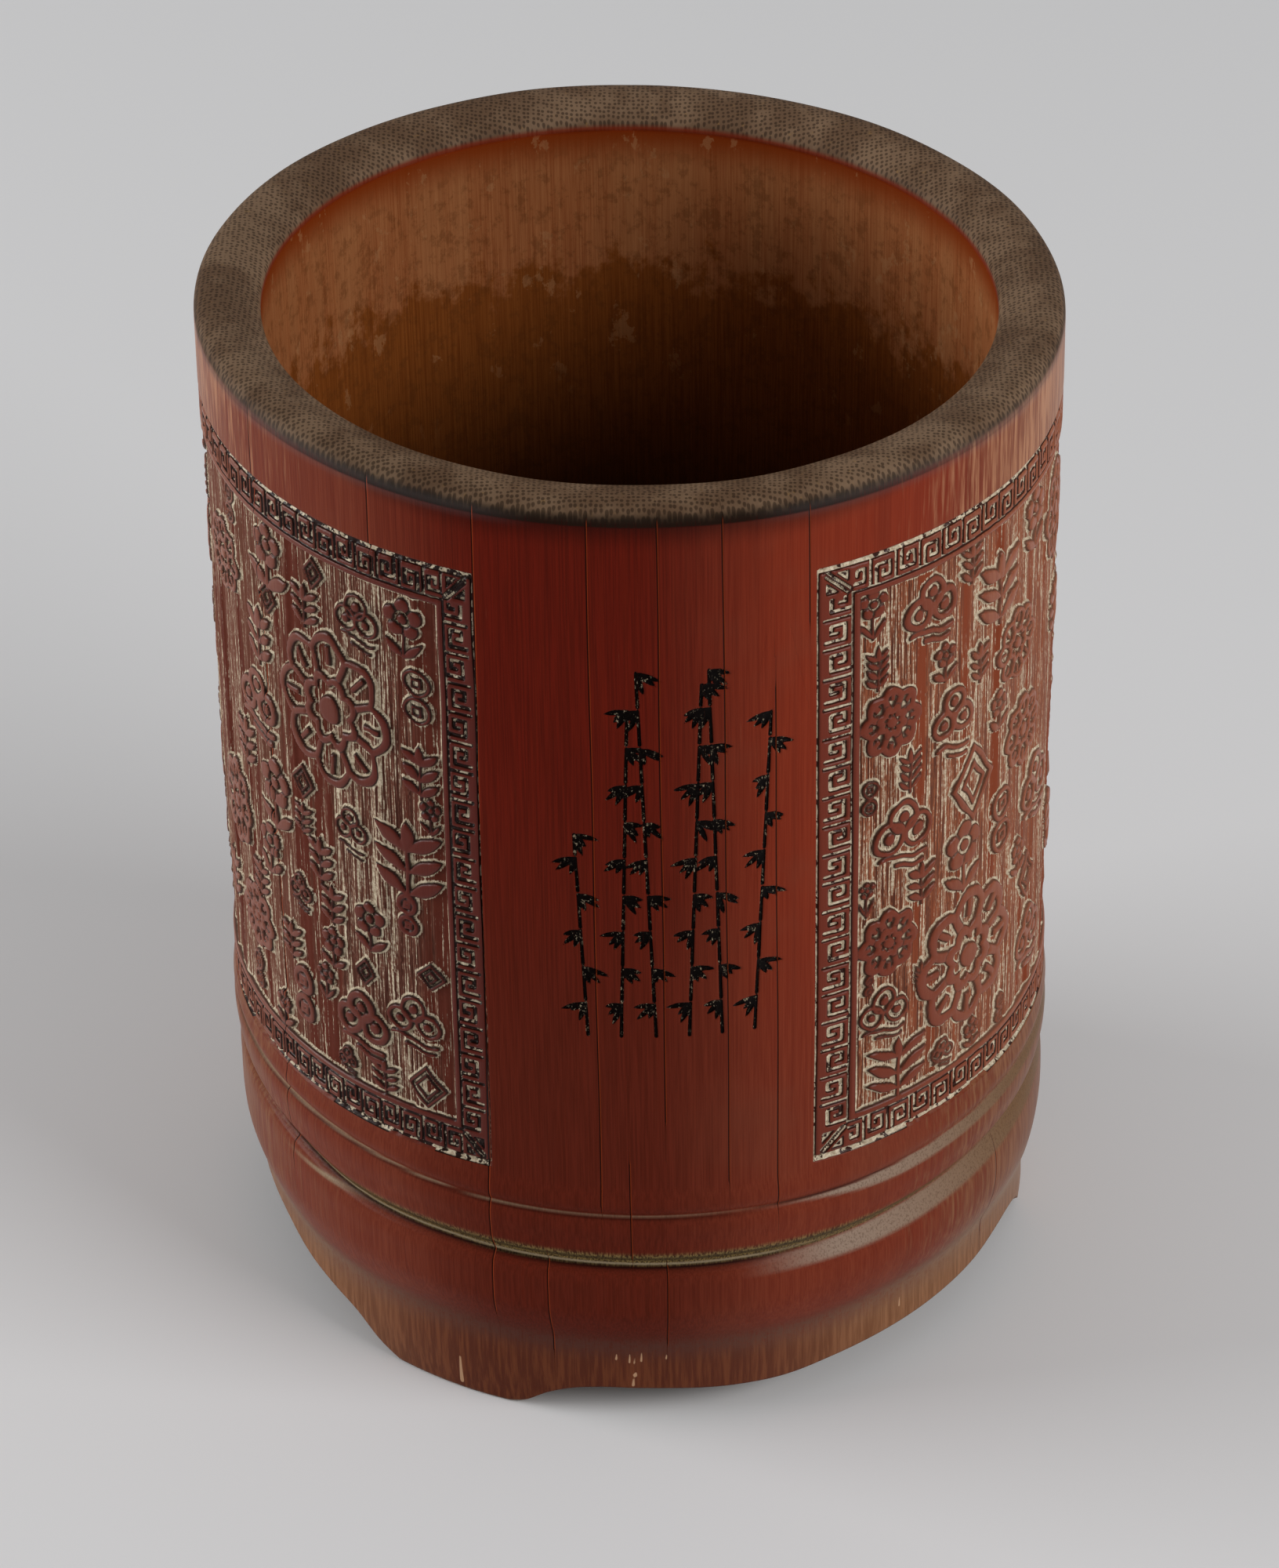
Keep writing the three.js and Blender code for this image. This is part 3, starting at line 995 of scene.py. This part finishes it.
def strip_corners(shell):
    """Texture coordinates of every quad's four corners, as rows, columns, corner, uv."""
    columns = len(shell.bearing)
    rows = shell.rows()
    uv = np.zeros((rows, columns, 4, 2), np.float32)
    first = 0
    for section, count in shell.sections:
        strips = STRIPS[section]
        per_strip = -(-columns // len(strips))
        for number, (left, right, bottom, top) in enumerate(strips):
            low = number * per_strip
            high = min(columns, low + per_strip)
            u = left + (right - left) * np.arange(high - low + 1) / (high - low)
            v = bottom + (top - bottom) * np.arange(count + 1) / count
            part = uv[first : first + count, low:high]
            part[..., 0, 0] = part[..., 3, 0] = u[:-1][None, :]
            part[..., 1, 0] = part[..., 2, 0] = u[1:][None, :]
            part[..., 0, 1] = part[..., 1, 1] = v[:-1][:, None]
            part[..., 2, 1] = part[..., 3, 1] = v[1:][:, None]
        first += count
    return uv.reshape(-1, 2)


def leaning(x, y, z):
    """Upright pot coordinates to the frame's, in metres."""
    shifted = x + BASE_SHIFT - LEAN * z / HEIGHT
    return np.stack([shifted, y, z], axis=-1) * MM


def shell_mesh(name, shell):
    """A closed mesh: the rows wrap round the pot and the last one joins the first."""
    radius = np.concatenate(shell.radius)
    height = np.concatenate(shell.height)
    angle = np.radians(shell.bearing - 90)[None, :]
    x, y = radius * np.cos(angle), radius * np.sin(angle)
    points = leaning(x, y, height).reshape(-1, 3)

    rows, columns = radius.shape
    here = np.arange(rows * columns).reshape(rows, columns)
    right = np.roll(here, -1, axis=1)
    up = np.roll(here, -1, axis=0)
    quads = np.stack([here, right, np.roll(up, -1, axis=1), up], axis=-1).reshape(-1, 4)

    mesh = bpy.data.meshes.new(name)
    mesh.vertices.add(len(points))
    mesh.vertices.foreach_set("co", points.astype(np.float32).ravel())
    mesh.loops.add(quads.size)
    mesh.loops.foreach_set("vertex_index", quads.astype(np.int32).ravel())
    mesh.polygons.add(len(quads))
    mesh.polygons.foreach_set("loop_start", np.arange(0, quads.size, 4, dtype=np.int32))
    mesh.update(calc_edges=True)
    mesh.shade_smooth()

    for mark in shell.marks:
        layer = mesh.attributes.new(mark, "FLOAT", "POINT")
        values = np.concatenate(shell.marks[mark]).astype(np.float32)
        layer.data.foreach_set("value", values.ravel())
    grain = mesh.attributes.new("grain", "FLOAT_VECTOR", "POINT")
    grain.data.foreach_set("vector", np.stack([x, y, height], -1).astype(np.float32).ravel())
    uv = mesh.uv_layers.new(name="OFBake")
    uv.uv.foreach_set("vector", strip_corners(shell).ravel())
    return mesh


def make_culm():
    scale = 1.0
    shell = Shell(grid_bearings(scale))
    add_outside(shell, scale)
    add_rim(shell, scale)
    add_bore(shell, scale)
    add_underside(shell, scale)
    mesh = shell_mesh("carved_culm", shell)
    culm = new_object("carved_culm", mesh)
    mesh.materials.append(bamboo_material())
    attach(culm, "root")
    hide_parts("bamboo_culm")
    return culm


DISC_COLUMNS = 192
DISC_HOLE = 1.5                # inside this radius one flat face closes the disc


def make_floor_disc():
    """The let-in floor: a turned disc, faintly hollowed, with eased edges."""
    columns, bottom, top = DISC_COLUMNS, disc_low.z, disc_high.z - 0.6
    upper = np.linspace(DISC_HOLE, DISC_RADIUS - 1, 34)
    section = [(r, top + 0.5 - 0.5 * (r / DISC_RADIUS) ** 2) for r in upper]
    section += [(DISC_RADIUS - 0.35, top - 0.25), (DISC_RADIUS, top - 0.9)]
    section += [(DISC_RADIUS, bottom + 0.5), (DISC_RADIUS - 0.5, bottom)]
    section += [(r, bottom) for r in np.linspace(DISC_RADIUS - 3, DISC_HOLE, 20)]
    radius, height = np.array(section).T
    angle = np.linspace(0, 2 * np.pi, columns, endpoint=False)
    x = radius[:, None] * np.cos(angle)
    y = radius[:, None] * np.sin(angle)
    z = height[:, None] + 0.12 * np.sin(x / 9 + 1) * np.sin(y / 13) * (height[:, None] > bottom + 1)
    points = leaning(x, y, z + 0 * x).reshape(-1, 3)
    rows = len(radius)
    faces = []
    for i in range(rows - 1):
        for j in range(columns):
            k = (j + 1) % columns
            here, below = i * columns, (i + 1) * columns
            faces.append((here + j, below + j, below + k, here + k))
    faces.append(tuple(range(columns)))
    faces.append(tuple(reversed(range((rows - 1) * columns, rows * columns))))
    mesh = bpy.data.meshes.new("let_in_floor")
    mesh.from_pydata(points.tolist(), [], faces)
    mesh.shade_smooth()
    disc = new_object("let_in_floor", mesh)
    mesh.materials.append(floor_material())
    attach(disc, "root")
    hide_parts("floor_disc")
    return disc


# ---- materials ------------------------------------------------------------------------


def linear(colour):
    """A #rrggbb colour as the linear values that shaders take."""
    parts = [int(colour[i : i + 2], 16) / 255 for i in (1, 3, 5)]
    line = [c / 12.92 if c <= 0.04045 else ((c + 0.055) / 1.055) ** 2.4 for c in parts]
    return (*line, 1.0)


class Graph:
    """Short words for building a material's nodes."""

    def __init__(self, name):
        self.material = bpy.data.materials.new(name)
        self.material.use_nodes = True
        self.tree = self.material.node_tree
        self.shader = self.tree.nodes["Principled BSDF"]

    def node(self, kind, inputs=(), **settings):
        node = self.tree.nodes.new(kind)
        for setting, value in settings.items():
            setattr(node, setting, value)
        for socket, value in dict(inputs).items():
            self.put(node.inputs[socket], value)
        return node

    def put(self, socket, value):
        if isinstance(value, bpy.types.NodeSocket):
            self.tree.links.new(value, socket)
        else:
            socket.default_value = value

    def mark(self, name):
        return self.node("ShaderNodeAttribute", attribute_name=name).outputs["Fac"]

    def place(self, name):
        return self.node("ShaderNodeAttribute", attribute_name=name).outputs["Vector"]

    def math(self, operation, a, b=0.0):
        return self.node("ShaderNodeMath", {0: a, 1: b}, operation=operation).outputs[0]

    def add(self, a, b):
        return self.math("ADD", a, b)

    def times(self, a, b):
        return self.math("MULTIPLY", a, b)

    def ramp(self, value, low, high):
        """0 at low, 1 at high, smooth between; high may be the lower one."""
        settings = {"interpolation_type": "SMOOTHSTEP", "clamp": True}
        inputs = {"Value": value, "From Min": low, "From Max": high}
        return self.node("ShaderNodeMapRange", inputs, **settings).outputs["Result"]

    def stretch(self, vector, scale):
        node = self.node("ShaderNodeVectorMath", {0: vector, 1: scale}, operation="MULTIPLY")
        return node.outputs["Vector"]

    def noise(self, vector, scale=1.0, detail=2.0, roughness=0.5):
        inputs = {"Vector": vector, "Scale": scale, "Detail": detail, "Roughness": roughness}
        return self.node("ShaderNodeTexNoise", inputs).outputs["Fac"]

    def cells(self, vector, scale=1.0, randomness=1.0):
        """Distance to the nearest of many scattered points."""
        inputs = {"Vector": vector, "Scale": scale, "Randomness": randomness}
        return self.node("ShaderNodeTexVoronoi", inputs).outputs["Distance"]

    def mix(self, share, a, b):
        node = self.node("ShaderNodeMix", data_type="RGBA")
        self.put(node.inputs["Factor"], share)
        self.put(node.inputs["A"], a if isinstance(a, bpy.types.NodeSocket) else linear(a))
        self.put(node.inputs["B"], b if isinstance(b, bpy.types.NodeSocket) else linear(b))
        return node.outputs["Result"]

    def bumps(self, height, distance, strength=1.0, under=None):
        inputs = {"Height": height, "Distance": distance, "Strength": strength}
        if under is not None:
            inputs["Normal"] = under
        return self.node("ShaderNodeBump", inputs).outputs["Normal"]


def bamboo_material():
    g = Graph("aged_bamboo")
    grain = g.place("grain")
    fibres = g.stretch(grain, (1.0, 1.0, 0.018))
    hair = g.noise(fibres, 3.6, 3.0, 0.6)
    strands = g.noise(fibres, 1.15, 2.0, 0.55)
    bands = g.noise(fibres, 0.20, 2.0, 0.5)
    mottle = g.noise(grain, 0.055, 3.0, 0.55)
    specks = g.noise(grain, 1.6, 3.0, 0.7)

    skin = skin_colour(g, grain, hair, strands, bands, mottle)
    colour = wood_under_skin(g, skin, grain, hair, specks)
    colour = carving_colour(g, colour, grain, hair, specks)
    colour = crack_colour(g, colour)
    colour = grain_end_colour(g, colour, grain)
    colour = bore_colour(g, colour, grain, hair, bands)
    g.put(g.shader.inputs["Base Color"], colour)

    motif, panel, cut, ink = (g.mark(name) for name in ("motif", "panel", "cut", "ink"))
    ground = g.times(g.ramp(motif, 0.1, -0.2), panel)
    matt = g.math("MAXIMUM", ground, g.mark("endgrain"))
    matt = g.math("MAXIMUM", matt, g.times(g.mark("bore"), 0.6))
    rough = g.add(g.times(matt, 0.28), g.add(g.times(hair, 0.10), 0.28))
    g.put(g.shader.inputs["Roughness"], rough)
    edges = g.times(g.ramp(motif, -0.12, 0.05), panel)
    polish = g.math("MAXIMUM", g.times(edges, 0.30), g.mark("polish"))
    duller = g.math("MAXIMUM", g.mark("deep"), g.times(panel, 0.7))
    plain = g.math("SUBTRACT", 0.07, g.times(duller, 0.05))
    g.put(g.shader.inputs["Specular IOR Level"], g.add(g.times(polish, 0.5), plain))

    step = g.add(g.ramp(motif, -0.16, 0.10), g.ramp(cut, 0.10, -0.10))
    step = g.add(step, g.ramp(ink, 0.12, -0.06))
    fine = g.bumps(hair, 0.00005, 0.5)
    fine = g.bumps(strands, 0.00006, 0.5, fine)
    fine = g.bumps(step, 0.00022, 0.7, fine)
    split = g.ramp(g.math("ABSOLUTE", g.mark("crack")), 0.06, 0.20)
    fine = g.bumps(split, 0.0002, 0.8, fine)
    ends = g.times(g.cells(g.stretch(grain, (1.0, 1.0, 0.05)), 1.5, 0.6), g.mark("endgrain"))
    fine = g.bumps(ends, 0.00010, 0.5, fine)
    g.put(g.shader.inputs["Normal"], fine)
    return g.material


def skin_colour(g, grain, hair, strands, bands, mottle):
    """The red-brown skin: fine dark lines, redder and browner stretches."""
    height = g.node("ShaderNodeSeparateXYZ", {0: grain}).outputs["Z"]
    skin = g.mix(g.ramp(hair, 0.30, 0.70), "#6a2a1a", "#793723")
    skin = g.mix(g.times(g.ramp(strands, 0.50, 0.72), 0.22), skin, "#8a4630")
    skin = g.mix(g.times(g.mark("ruddy"), 0.75), skin, g.mix(hair, "#74200c", "#93341a"))
    skin = g.mix(g.times(g.ramp(bands, 0.52, 0.70), 0.40), skin, "#642414")
    skin = g.mix(g.times(g.ramp(mottle, 0.45, 0.75), 0.35), skin, "#7a4430")
    low = g.mix(g.ramp(hair, 0.28, 0.72), "#531e12", "#632518")
    high = g.mix(g.ramp(hair, 0.28, 0.72), "#55170d", "#691c10")
    deep = g.mix(g.ramp(height, 60.0, 130.0), low, high)
    deep = g.mix(g.times(g.ramp(strands, 0.50, 0.72), 0.12), deep, "#6e2210")
    return g.mix(g.mark("deep"), skin, deep)


def wood_under_skin(g, skin, grain, hair, specks):
    """Where the skin is worn to fibres, frayed, hazed or turned away."""
    tan = g.mark("tan")
    streaks = g.noise(g.stretch(grain, (1, 1, 0.06)), 1.5, 3.0, 0.6)
    height = g.node("ShaderNodeSeparateXYZ", {0: grain}).outputs["Z"]
    low = g.mix(g.ramp(streaks, 0.35, 0.65), "#6f442c", "#895b3e")
    high = g.mix(g.ramp(streaks, 0.35, 0.65), "#8c563a", "#b8825f")
    fibres = g.mix(g.ramp(height, 45.0, 150.0), low, high)
    share = g.add(tan, g.times(g.add(streaks, -0.5), 1.5))
    colour = g.mix(g.times(g.ramp(share, 0.28, 1.05), 0.85), skin, fibres)

    foot = g.mix(g.ramp(streaks, 0.4, 0.65), "#582f22", "#70402a")
    worn_foot = g.mix(g.ramp(streaks, 0.35, 0.7), "#7c5438", "#96694a")
    foot = g.mix(g.ramp(tan, 0.0, 0.85), foot, worn_foot)
    colour = g.mix(g.times(g.mark("foot"), 0.85), colour, foot)
    mottled = g.ramp(g.add(g.times(specks, 0.6), g.times(hair, 0.4)), 0.34, 0.56)
    hazy = g.mix(tan, "#563830", "#8f735c")
    haze = g.times(g.mark("haze"), g.add(g.times(mottled, 0.4), 0.4))
    colour = g.mix(haze, colour, hazy)

    bare_dark, bare_light = g.mix(tan, "#3a2c1c", "#5d4022"), g.mix(tan, "#8a7448", "#7a552a")
    bare = g.mix(g.ramp(hair, 0.40, 0.62), bare_dark, bare_light)
    colour = g.mix(g.mark("olive"), colour, bare)
    colour = g.mix(g.times(g.mark("stain"), 0.8), colour, "#150a07")
    ragged = g.add(g.mark("fringe"), g.times(g.add(hair, -0.5), 1.6))
    frayed = g.mix(tan, "#1e150e", "#4a3422")
    colour = g.mix(g.times(g.ramp(ragged, 0.45, 0.95), 0.85), colour, frayed)
    # The sloping faces: end-grain granules on a pale grey that is partly painted sheen, browner
    # where worn.
    granules = g.noise(g.stretch(grain, (1, 1, 0.7)), 3.4, 2.0, 0.7)
    faces = g.mix(tan, "#9e8a79", "#735538")
    pits = g.mix(tan, "#5f4c40", "#4f3722")
    faces = g.mix(g.times(g.ramp(granules, 0.48, 0.66), 0.55), faces, pits)
    colour = g.mix(g.times(g.mark("band"), 0.9), colour, faces)
    # Cream on the pale hairlines, and as a painted highlight under the node at the left.
    cream = g.mix(hair, "#8a785c", "#b8a88c")
    colour = g.mix(g.times(g.mark("pale"), 0.85), colour, cream)
    colour = g.mix(g.times(g.mark("dark"), 0.95), colour, "#0c0706")
    return g.mix(g.times(g.ramp(g.mark("fleck"), -0.1, 0.05), 0.85), colour, "#c39a78")


def carving_colour(g, colour, grain, hair, specks):
    """Darker tops, dust round and between them, a striped ground, and the cut bamboo."""
    motif, panel, cut, ink = (g.mark(name) for name in ("motif", "panel", "cut", "ink"))
    right = g.mark("sunny")
    tan = g.mark("tan")
    tops = g.mix(right, g.mix(tan, "#551b11", "#9a6350"), g.mix(tan, "#682614", "#955339"))
    colour = g.mix(g.times(panel, 0.80), colour, tops)

    lines = g.noise(g.stretch(grain, (1, 1, 0.02)), 3.8, 2.0, 0.6)
    broad = g.noise(g.stretch(grain, (1, 1, 0.012)), 0.42, 2.0, 0.5)
    hollows, crests = g.mix(tan, "#40221a", "#7d5040"), g.mix(right, "#74493b", "#9a5a3e")
    ribs = g.mix(g.ramp(lines, 0.36, 0.60), hollows, crests)
    ribs = g.mix(g.ramp(broad, 0.50, 0.38), ribs, g.mix(right, "#5c2b20", "#823f28"))
    dust = g.mix(g.ramp(specks, 0.35, 0.65), "#ae9c82", "#ded0b5")
    halo = g.times(g.ramp(motif, -0.55, -0.28), 0.22)
    loose = g.times(g.add(specks, -0.5), 0.18)
    stripes = g.add(g.times(g.add(broad, -0.5), 0.40), g.add(lines, loose))
    dusty = g.times(g.ramp(g.add(stripes, halo), 0.56, 0.66), 0.9)
    ground = g.mix(dusty, ribs, dust)
    shade = g.mix(right, g.mix(tan, "#150806", "#4a2e24"), g.mix(tan, "#241009", "#6e4735"))
    ground = g.mix(g.times(g.ramp(motif, -0.17, -0.05), 0.92), ground, shade)
    top_edge = g.times(g.times(g.ramp(motif, 0.18, 0.04), panel), 0.70)
    colour = g.mix(top_edge, colour, shade)
    below = g.times(g.ramp(motif, 0.03, -0.05), panel)
    colour = g.mix(below, colour, ground)

    # The cut lines: near-black as painted shade in the grooves, with dust settled along them in
    # patches.
    settled = g.add(g.noise(grain, 0.9, 2.0, 0.6), g.times(specks, 0.15))
    filled = g.ramp(g.add(settled, g.times(right, 0.10)), 0.56, 0.64)
    filled = g.times(filled, g.ramp(cut, 0.04, 0.12))
    line = g.mix(filled, g.mix(right, "#24110b", "#371a10"), dust)
    colour = g.mix(g.ramp(cut, -0.10, 0.0), colour, line)
    glint = g.times(g.ramp(specks, 0.56, 0.64), g.ramp(hair, 0.46, 0.58))
    mark = g.mix(glint, "#0b0605", "#9b8c74")
    return g.mix(g.ramp(ink, -0.08, 0.02), colour, mark)


def crack_colour(g, colour):
    crack = g.mark("crack")
    bright = g.times(g.ramp(crack, 0.04, 0.10), g.ramp(crack, 0.26, 0.12))
    colour = g.mix(g.times(bright, 0.7), colour, "#b0481c")
    split = g.ramp(g.math("ABSOLUTE", crack), 0.13, 0.05)
    return g.mix(g.times(split, 0.92), colour, "#120605")


def grain_end_colour(g, colour, grain):
    """Cut ends of the fibre bundles: rows of dark dots that crowd towards the skin."""
    bundles = g.cells(g.stretch(grain, (1.0, 1.0, 0.05)), 1.35, 0.40)
    crowded = g.times(g.mark("fringe"), -0.18)
    dots = g.ramp(g.add(bundles, crowded), 0.44, 0.24)
    wood = g.mix(g.ramp(g.noise(grain, 0.11, 3.0, 0.6), 0.35, 0.65), "#664e3b", "#806751")
    flecks = g.ramp(g.noise(grain, 0.9, 3.0, 0.7), 0.62, 0.74)
    wood = g.mix(g.times(flecks, 0.4), wood, "#94713f")
    ends = g.mix(g.times(dots, 0.62), wood, "#20150e")
    ends = g.mix(g.times(g.mark("fringe"), 0.85), ends, "#120d0a")
    colour = g.mix(g.mark("endgrain"), colour, ends)
    return g.mix(g.times(g.mark("lip"), 0.9), colour, "#7e2605")


def bore_colour(g, colour, grain, hair, bands):
    """The inside: rosy brown above a ragged tide line, darker and darker below it."""
    height = g.node("ShaderNodeSeparateXYZ", {0: grain}).outputs["Z"]
    depth = g.math("SUBTRACT", HEIGHT, height)
    rosy = g.mix(g.ramp(hair, 0.30, 0.70), "#8a4e2b", "#a0643c")
    rosy = g.mix(g.times(g.ramp(bands, 0.40, 0.65), 0.3), rosy, "#a8744a")
    rosy = g.mix(g.ramp(depth, 11.0, 3.5), rosy, "#7c3008")
    brown = g.mix(g.ramp(hair, 0.30, 0.70), "#6e3813", "#84491d")
    torn = g.noise(g.stretch(grain, (1, 1, 0.8)), 0.15, 6.0, 0.70)
    tide = g.add(depth, g.times(g.add(torn, -0.5), 40.0))
    wood = g.mix(g.ramp(tide, 25.0, 31.0), rosy, brown)
    patches = g.ramp(g.noise(g.stretch(grain, (1, 1, 0.7)), 0.24, 5.0, 0.7), 0.60, 0.64)
    patches = g.times(patches, g.ramp(depth, 60.0, 35.0))
    wood = g.mix(g.times(patches, 0.40), wood, "#a87850")
    blotches = g.ramp(g.noise(g.stretch(grain, (1, 1, 0.8)), 0.42, 5.0, 0.75), 0.48, 0.62)
    blotches = g.times(blotches, g.ramp(depth, 3.0, 12.0))
    wood = g.mix(g.times(blotches, 0.40), wood, "#5a3012")
    wood = g.mix(g.ramp(depth, 30.0, 95.0), wood, "#120903")
    wood = g.mix(g.mark("lip"), wood, "#8c2e05")
    return g.mix(g.mark("bore"), colour, wood)


def floor_material():
    """Dark bare wood with straight grain."""
    g = Graph("floor_wood")
    place = g.stretch(g.node("ShaderNodeTexCoord").outputs["Object"], (1000.0, 40.0, 40.0))
    rings = g.noise(place, 0.35, 4.0, 0.6)
    pores = g.noise(place, 2.4, 2.0, 0.6)
    colour = g.mix(g.ramp(rings, 0.35, 0.65), "#1c1009", "#3b2414")
    colour = g.mix(g.times(g.ramp(pores, 0.55, 0.7), 0.6), colour, "#140b06")
    g.put(g.shader.inputs["Base Color"], colour)
    g.put(g.shader.inputs["Roughness"], g.add(g.times(rings, 0.2), 0.55))
    g.put(g.shader.inputs["Normal"], g.bumps(pores, 0.0001, 0.6))
    return g.material


# ---- stage, light and camera -------------------------------------------------------------

# In metres, as the camera and the lights are.
SWEEP_WIDTH = 6.0
BOX_DISTANCE = 1.8
BOX_SIZE = (1.2, 0.6)
SKY_STRENGTH = 0.30
CAMERA_DISTANCE = 0.996
CAMERA_ELEVATION = math.radians(33.8)
CAMERA_ROLL = math.radians(0.53)
CAMERA_LENS = 145.8
TARGET = Vector((0.0011, 0.0, 0.0779))


def make_stage():
    """A seamless pale floor."""
    mesh = bpy.data.meshes.new("sweep")
    half = SWEEP_WIDTH / 2
    corners = [(-half, -half, 0), (half, -half, 0), (half, half, 0), (-half, half, 0)]
    mesh.from_pydata(corners, [], [(0, 1, 2, 3)])
    sweep = new_object("sweep", mesh)
    g = Graph("paper")
    g.shader.inputs["Base Color"].default_value = linear("#e9e9ea")
    g.shader.inputs["Roughness"].default_value = 0.9
    g.shader.inputs["Specular IOR Level"].default_value = 0.1
    mesh.materials.append(g.material)


def soft_light(name, bearing, elevation, watts):
    """A soft box that faces the pot's middle."""
    lamp = bpy.data.lights.new(name, "AREA")
    lamp.shape = "RECTANGLE"
    lamp.size, lamp.size_y = BOX_SIZE
    lamp.energy = watts
    light = new_object(name, lamp)
    turn, lift = math.radians(bearing - 90), math.radians(elevation)
    level = math.cos(lift)
    away = Vector((level * math.cos(turn), level * math.sin(turn), math.sin(lift)))
    middle = Vector((0, 0, HEIGHT * MM / 2))
    light.location = middle + away * BOX_DISTANCE
    light.rotation_euler = away.to_track_quat("Z", "Y").to_euler()


def make_light():
    world = bpy.data.worlds.new("studio")
    world.use_nodes = True
    sky = world.node_tree.nodes["Background"]
    sky.inputs["Color"].default_value = (1, 1, 1, 1)
    sky.inputs["Strength"].default_value = SKY_STRENGTH
    bpy.context.scene.world = world
    soft_light("left_box", -92, 17, 20)
    soft_light("right_box", 60, 30, 17)
    bpy.context.scene.view_settings.view_transform = "Standard"


def make_camera():
    """At the angle the pot is looked at: from the front, well above the rim."""
    back = Vector((0, -math.cos(CAMERA_ELEVATION), math.sin(CAMERA_ELEVATION)))
    level = Vector((1, 0, 0))
    above = level.cross(-back)
    right = level * math.cos(CAMERA_ROLL) + above * math.sin(CAMERA_ROLL)
    up = above * math.cos(CAMERA_ROLL) - level * math.sin(CAMERA_ROLL)
    lens = bpy.data.cameras.new("camera")
    lens.lens = CAMERA_LENS
    lens.sensor_width = 36.0
    lens.clip_start = 0.05
    camera = new_object("camera", lens)
    axes = Matrix((right, up, back)).transposed().to_4x4()
    camera.matrix_world = Matrix.Translation(TARGET + back * CAMERA_DISTANCE) @ axes
    bpy.context.scene.camera = camera


make_camera()
make_light()
make_stage()
make_culm()
make_floor_disc()
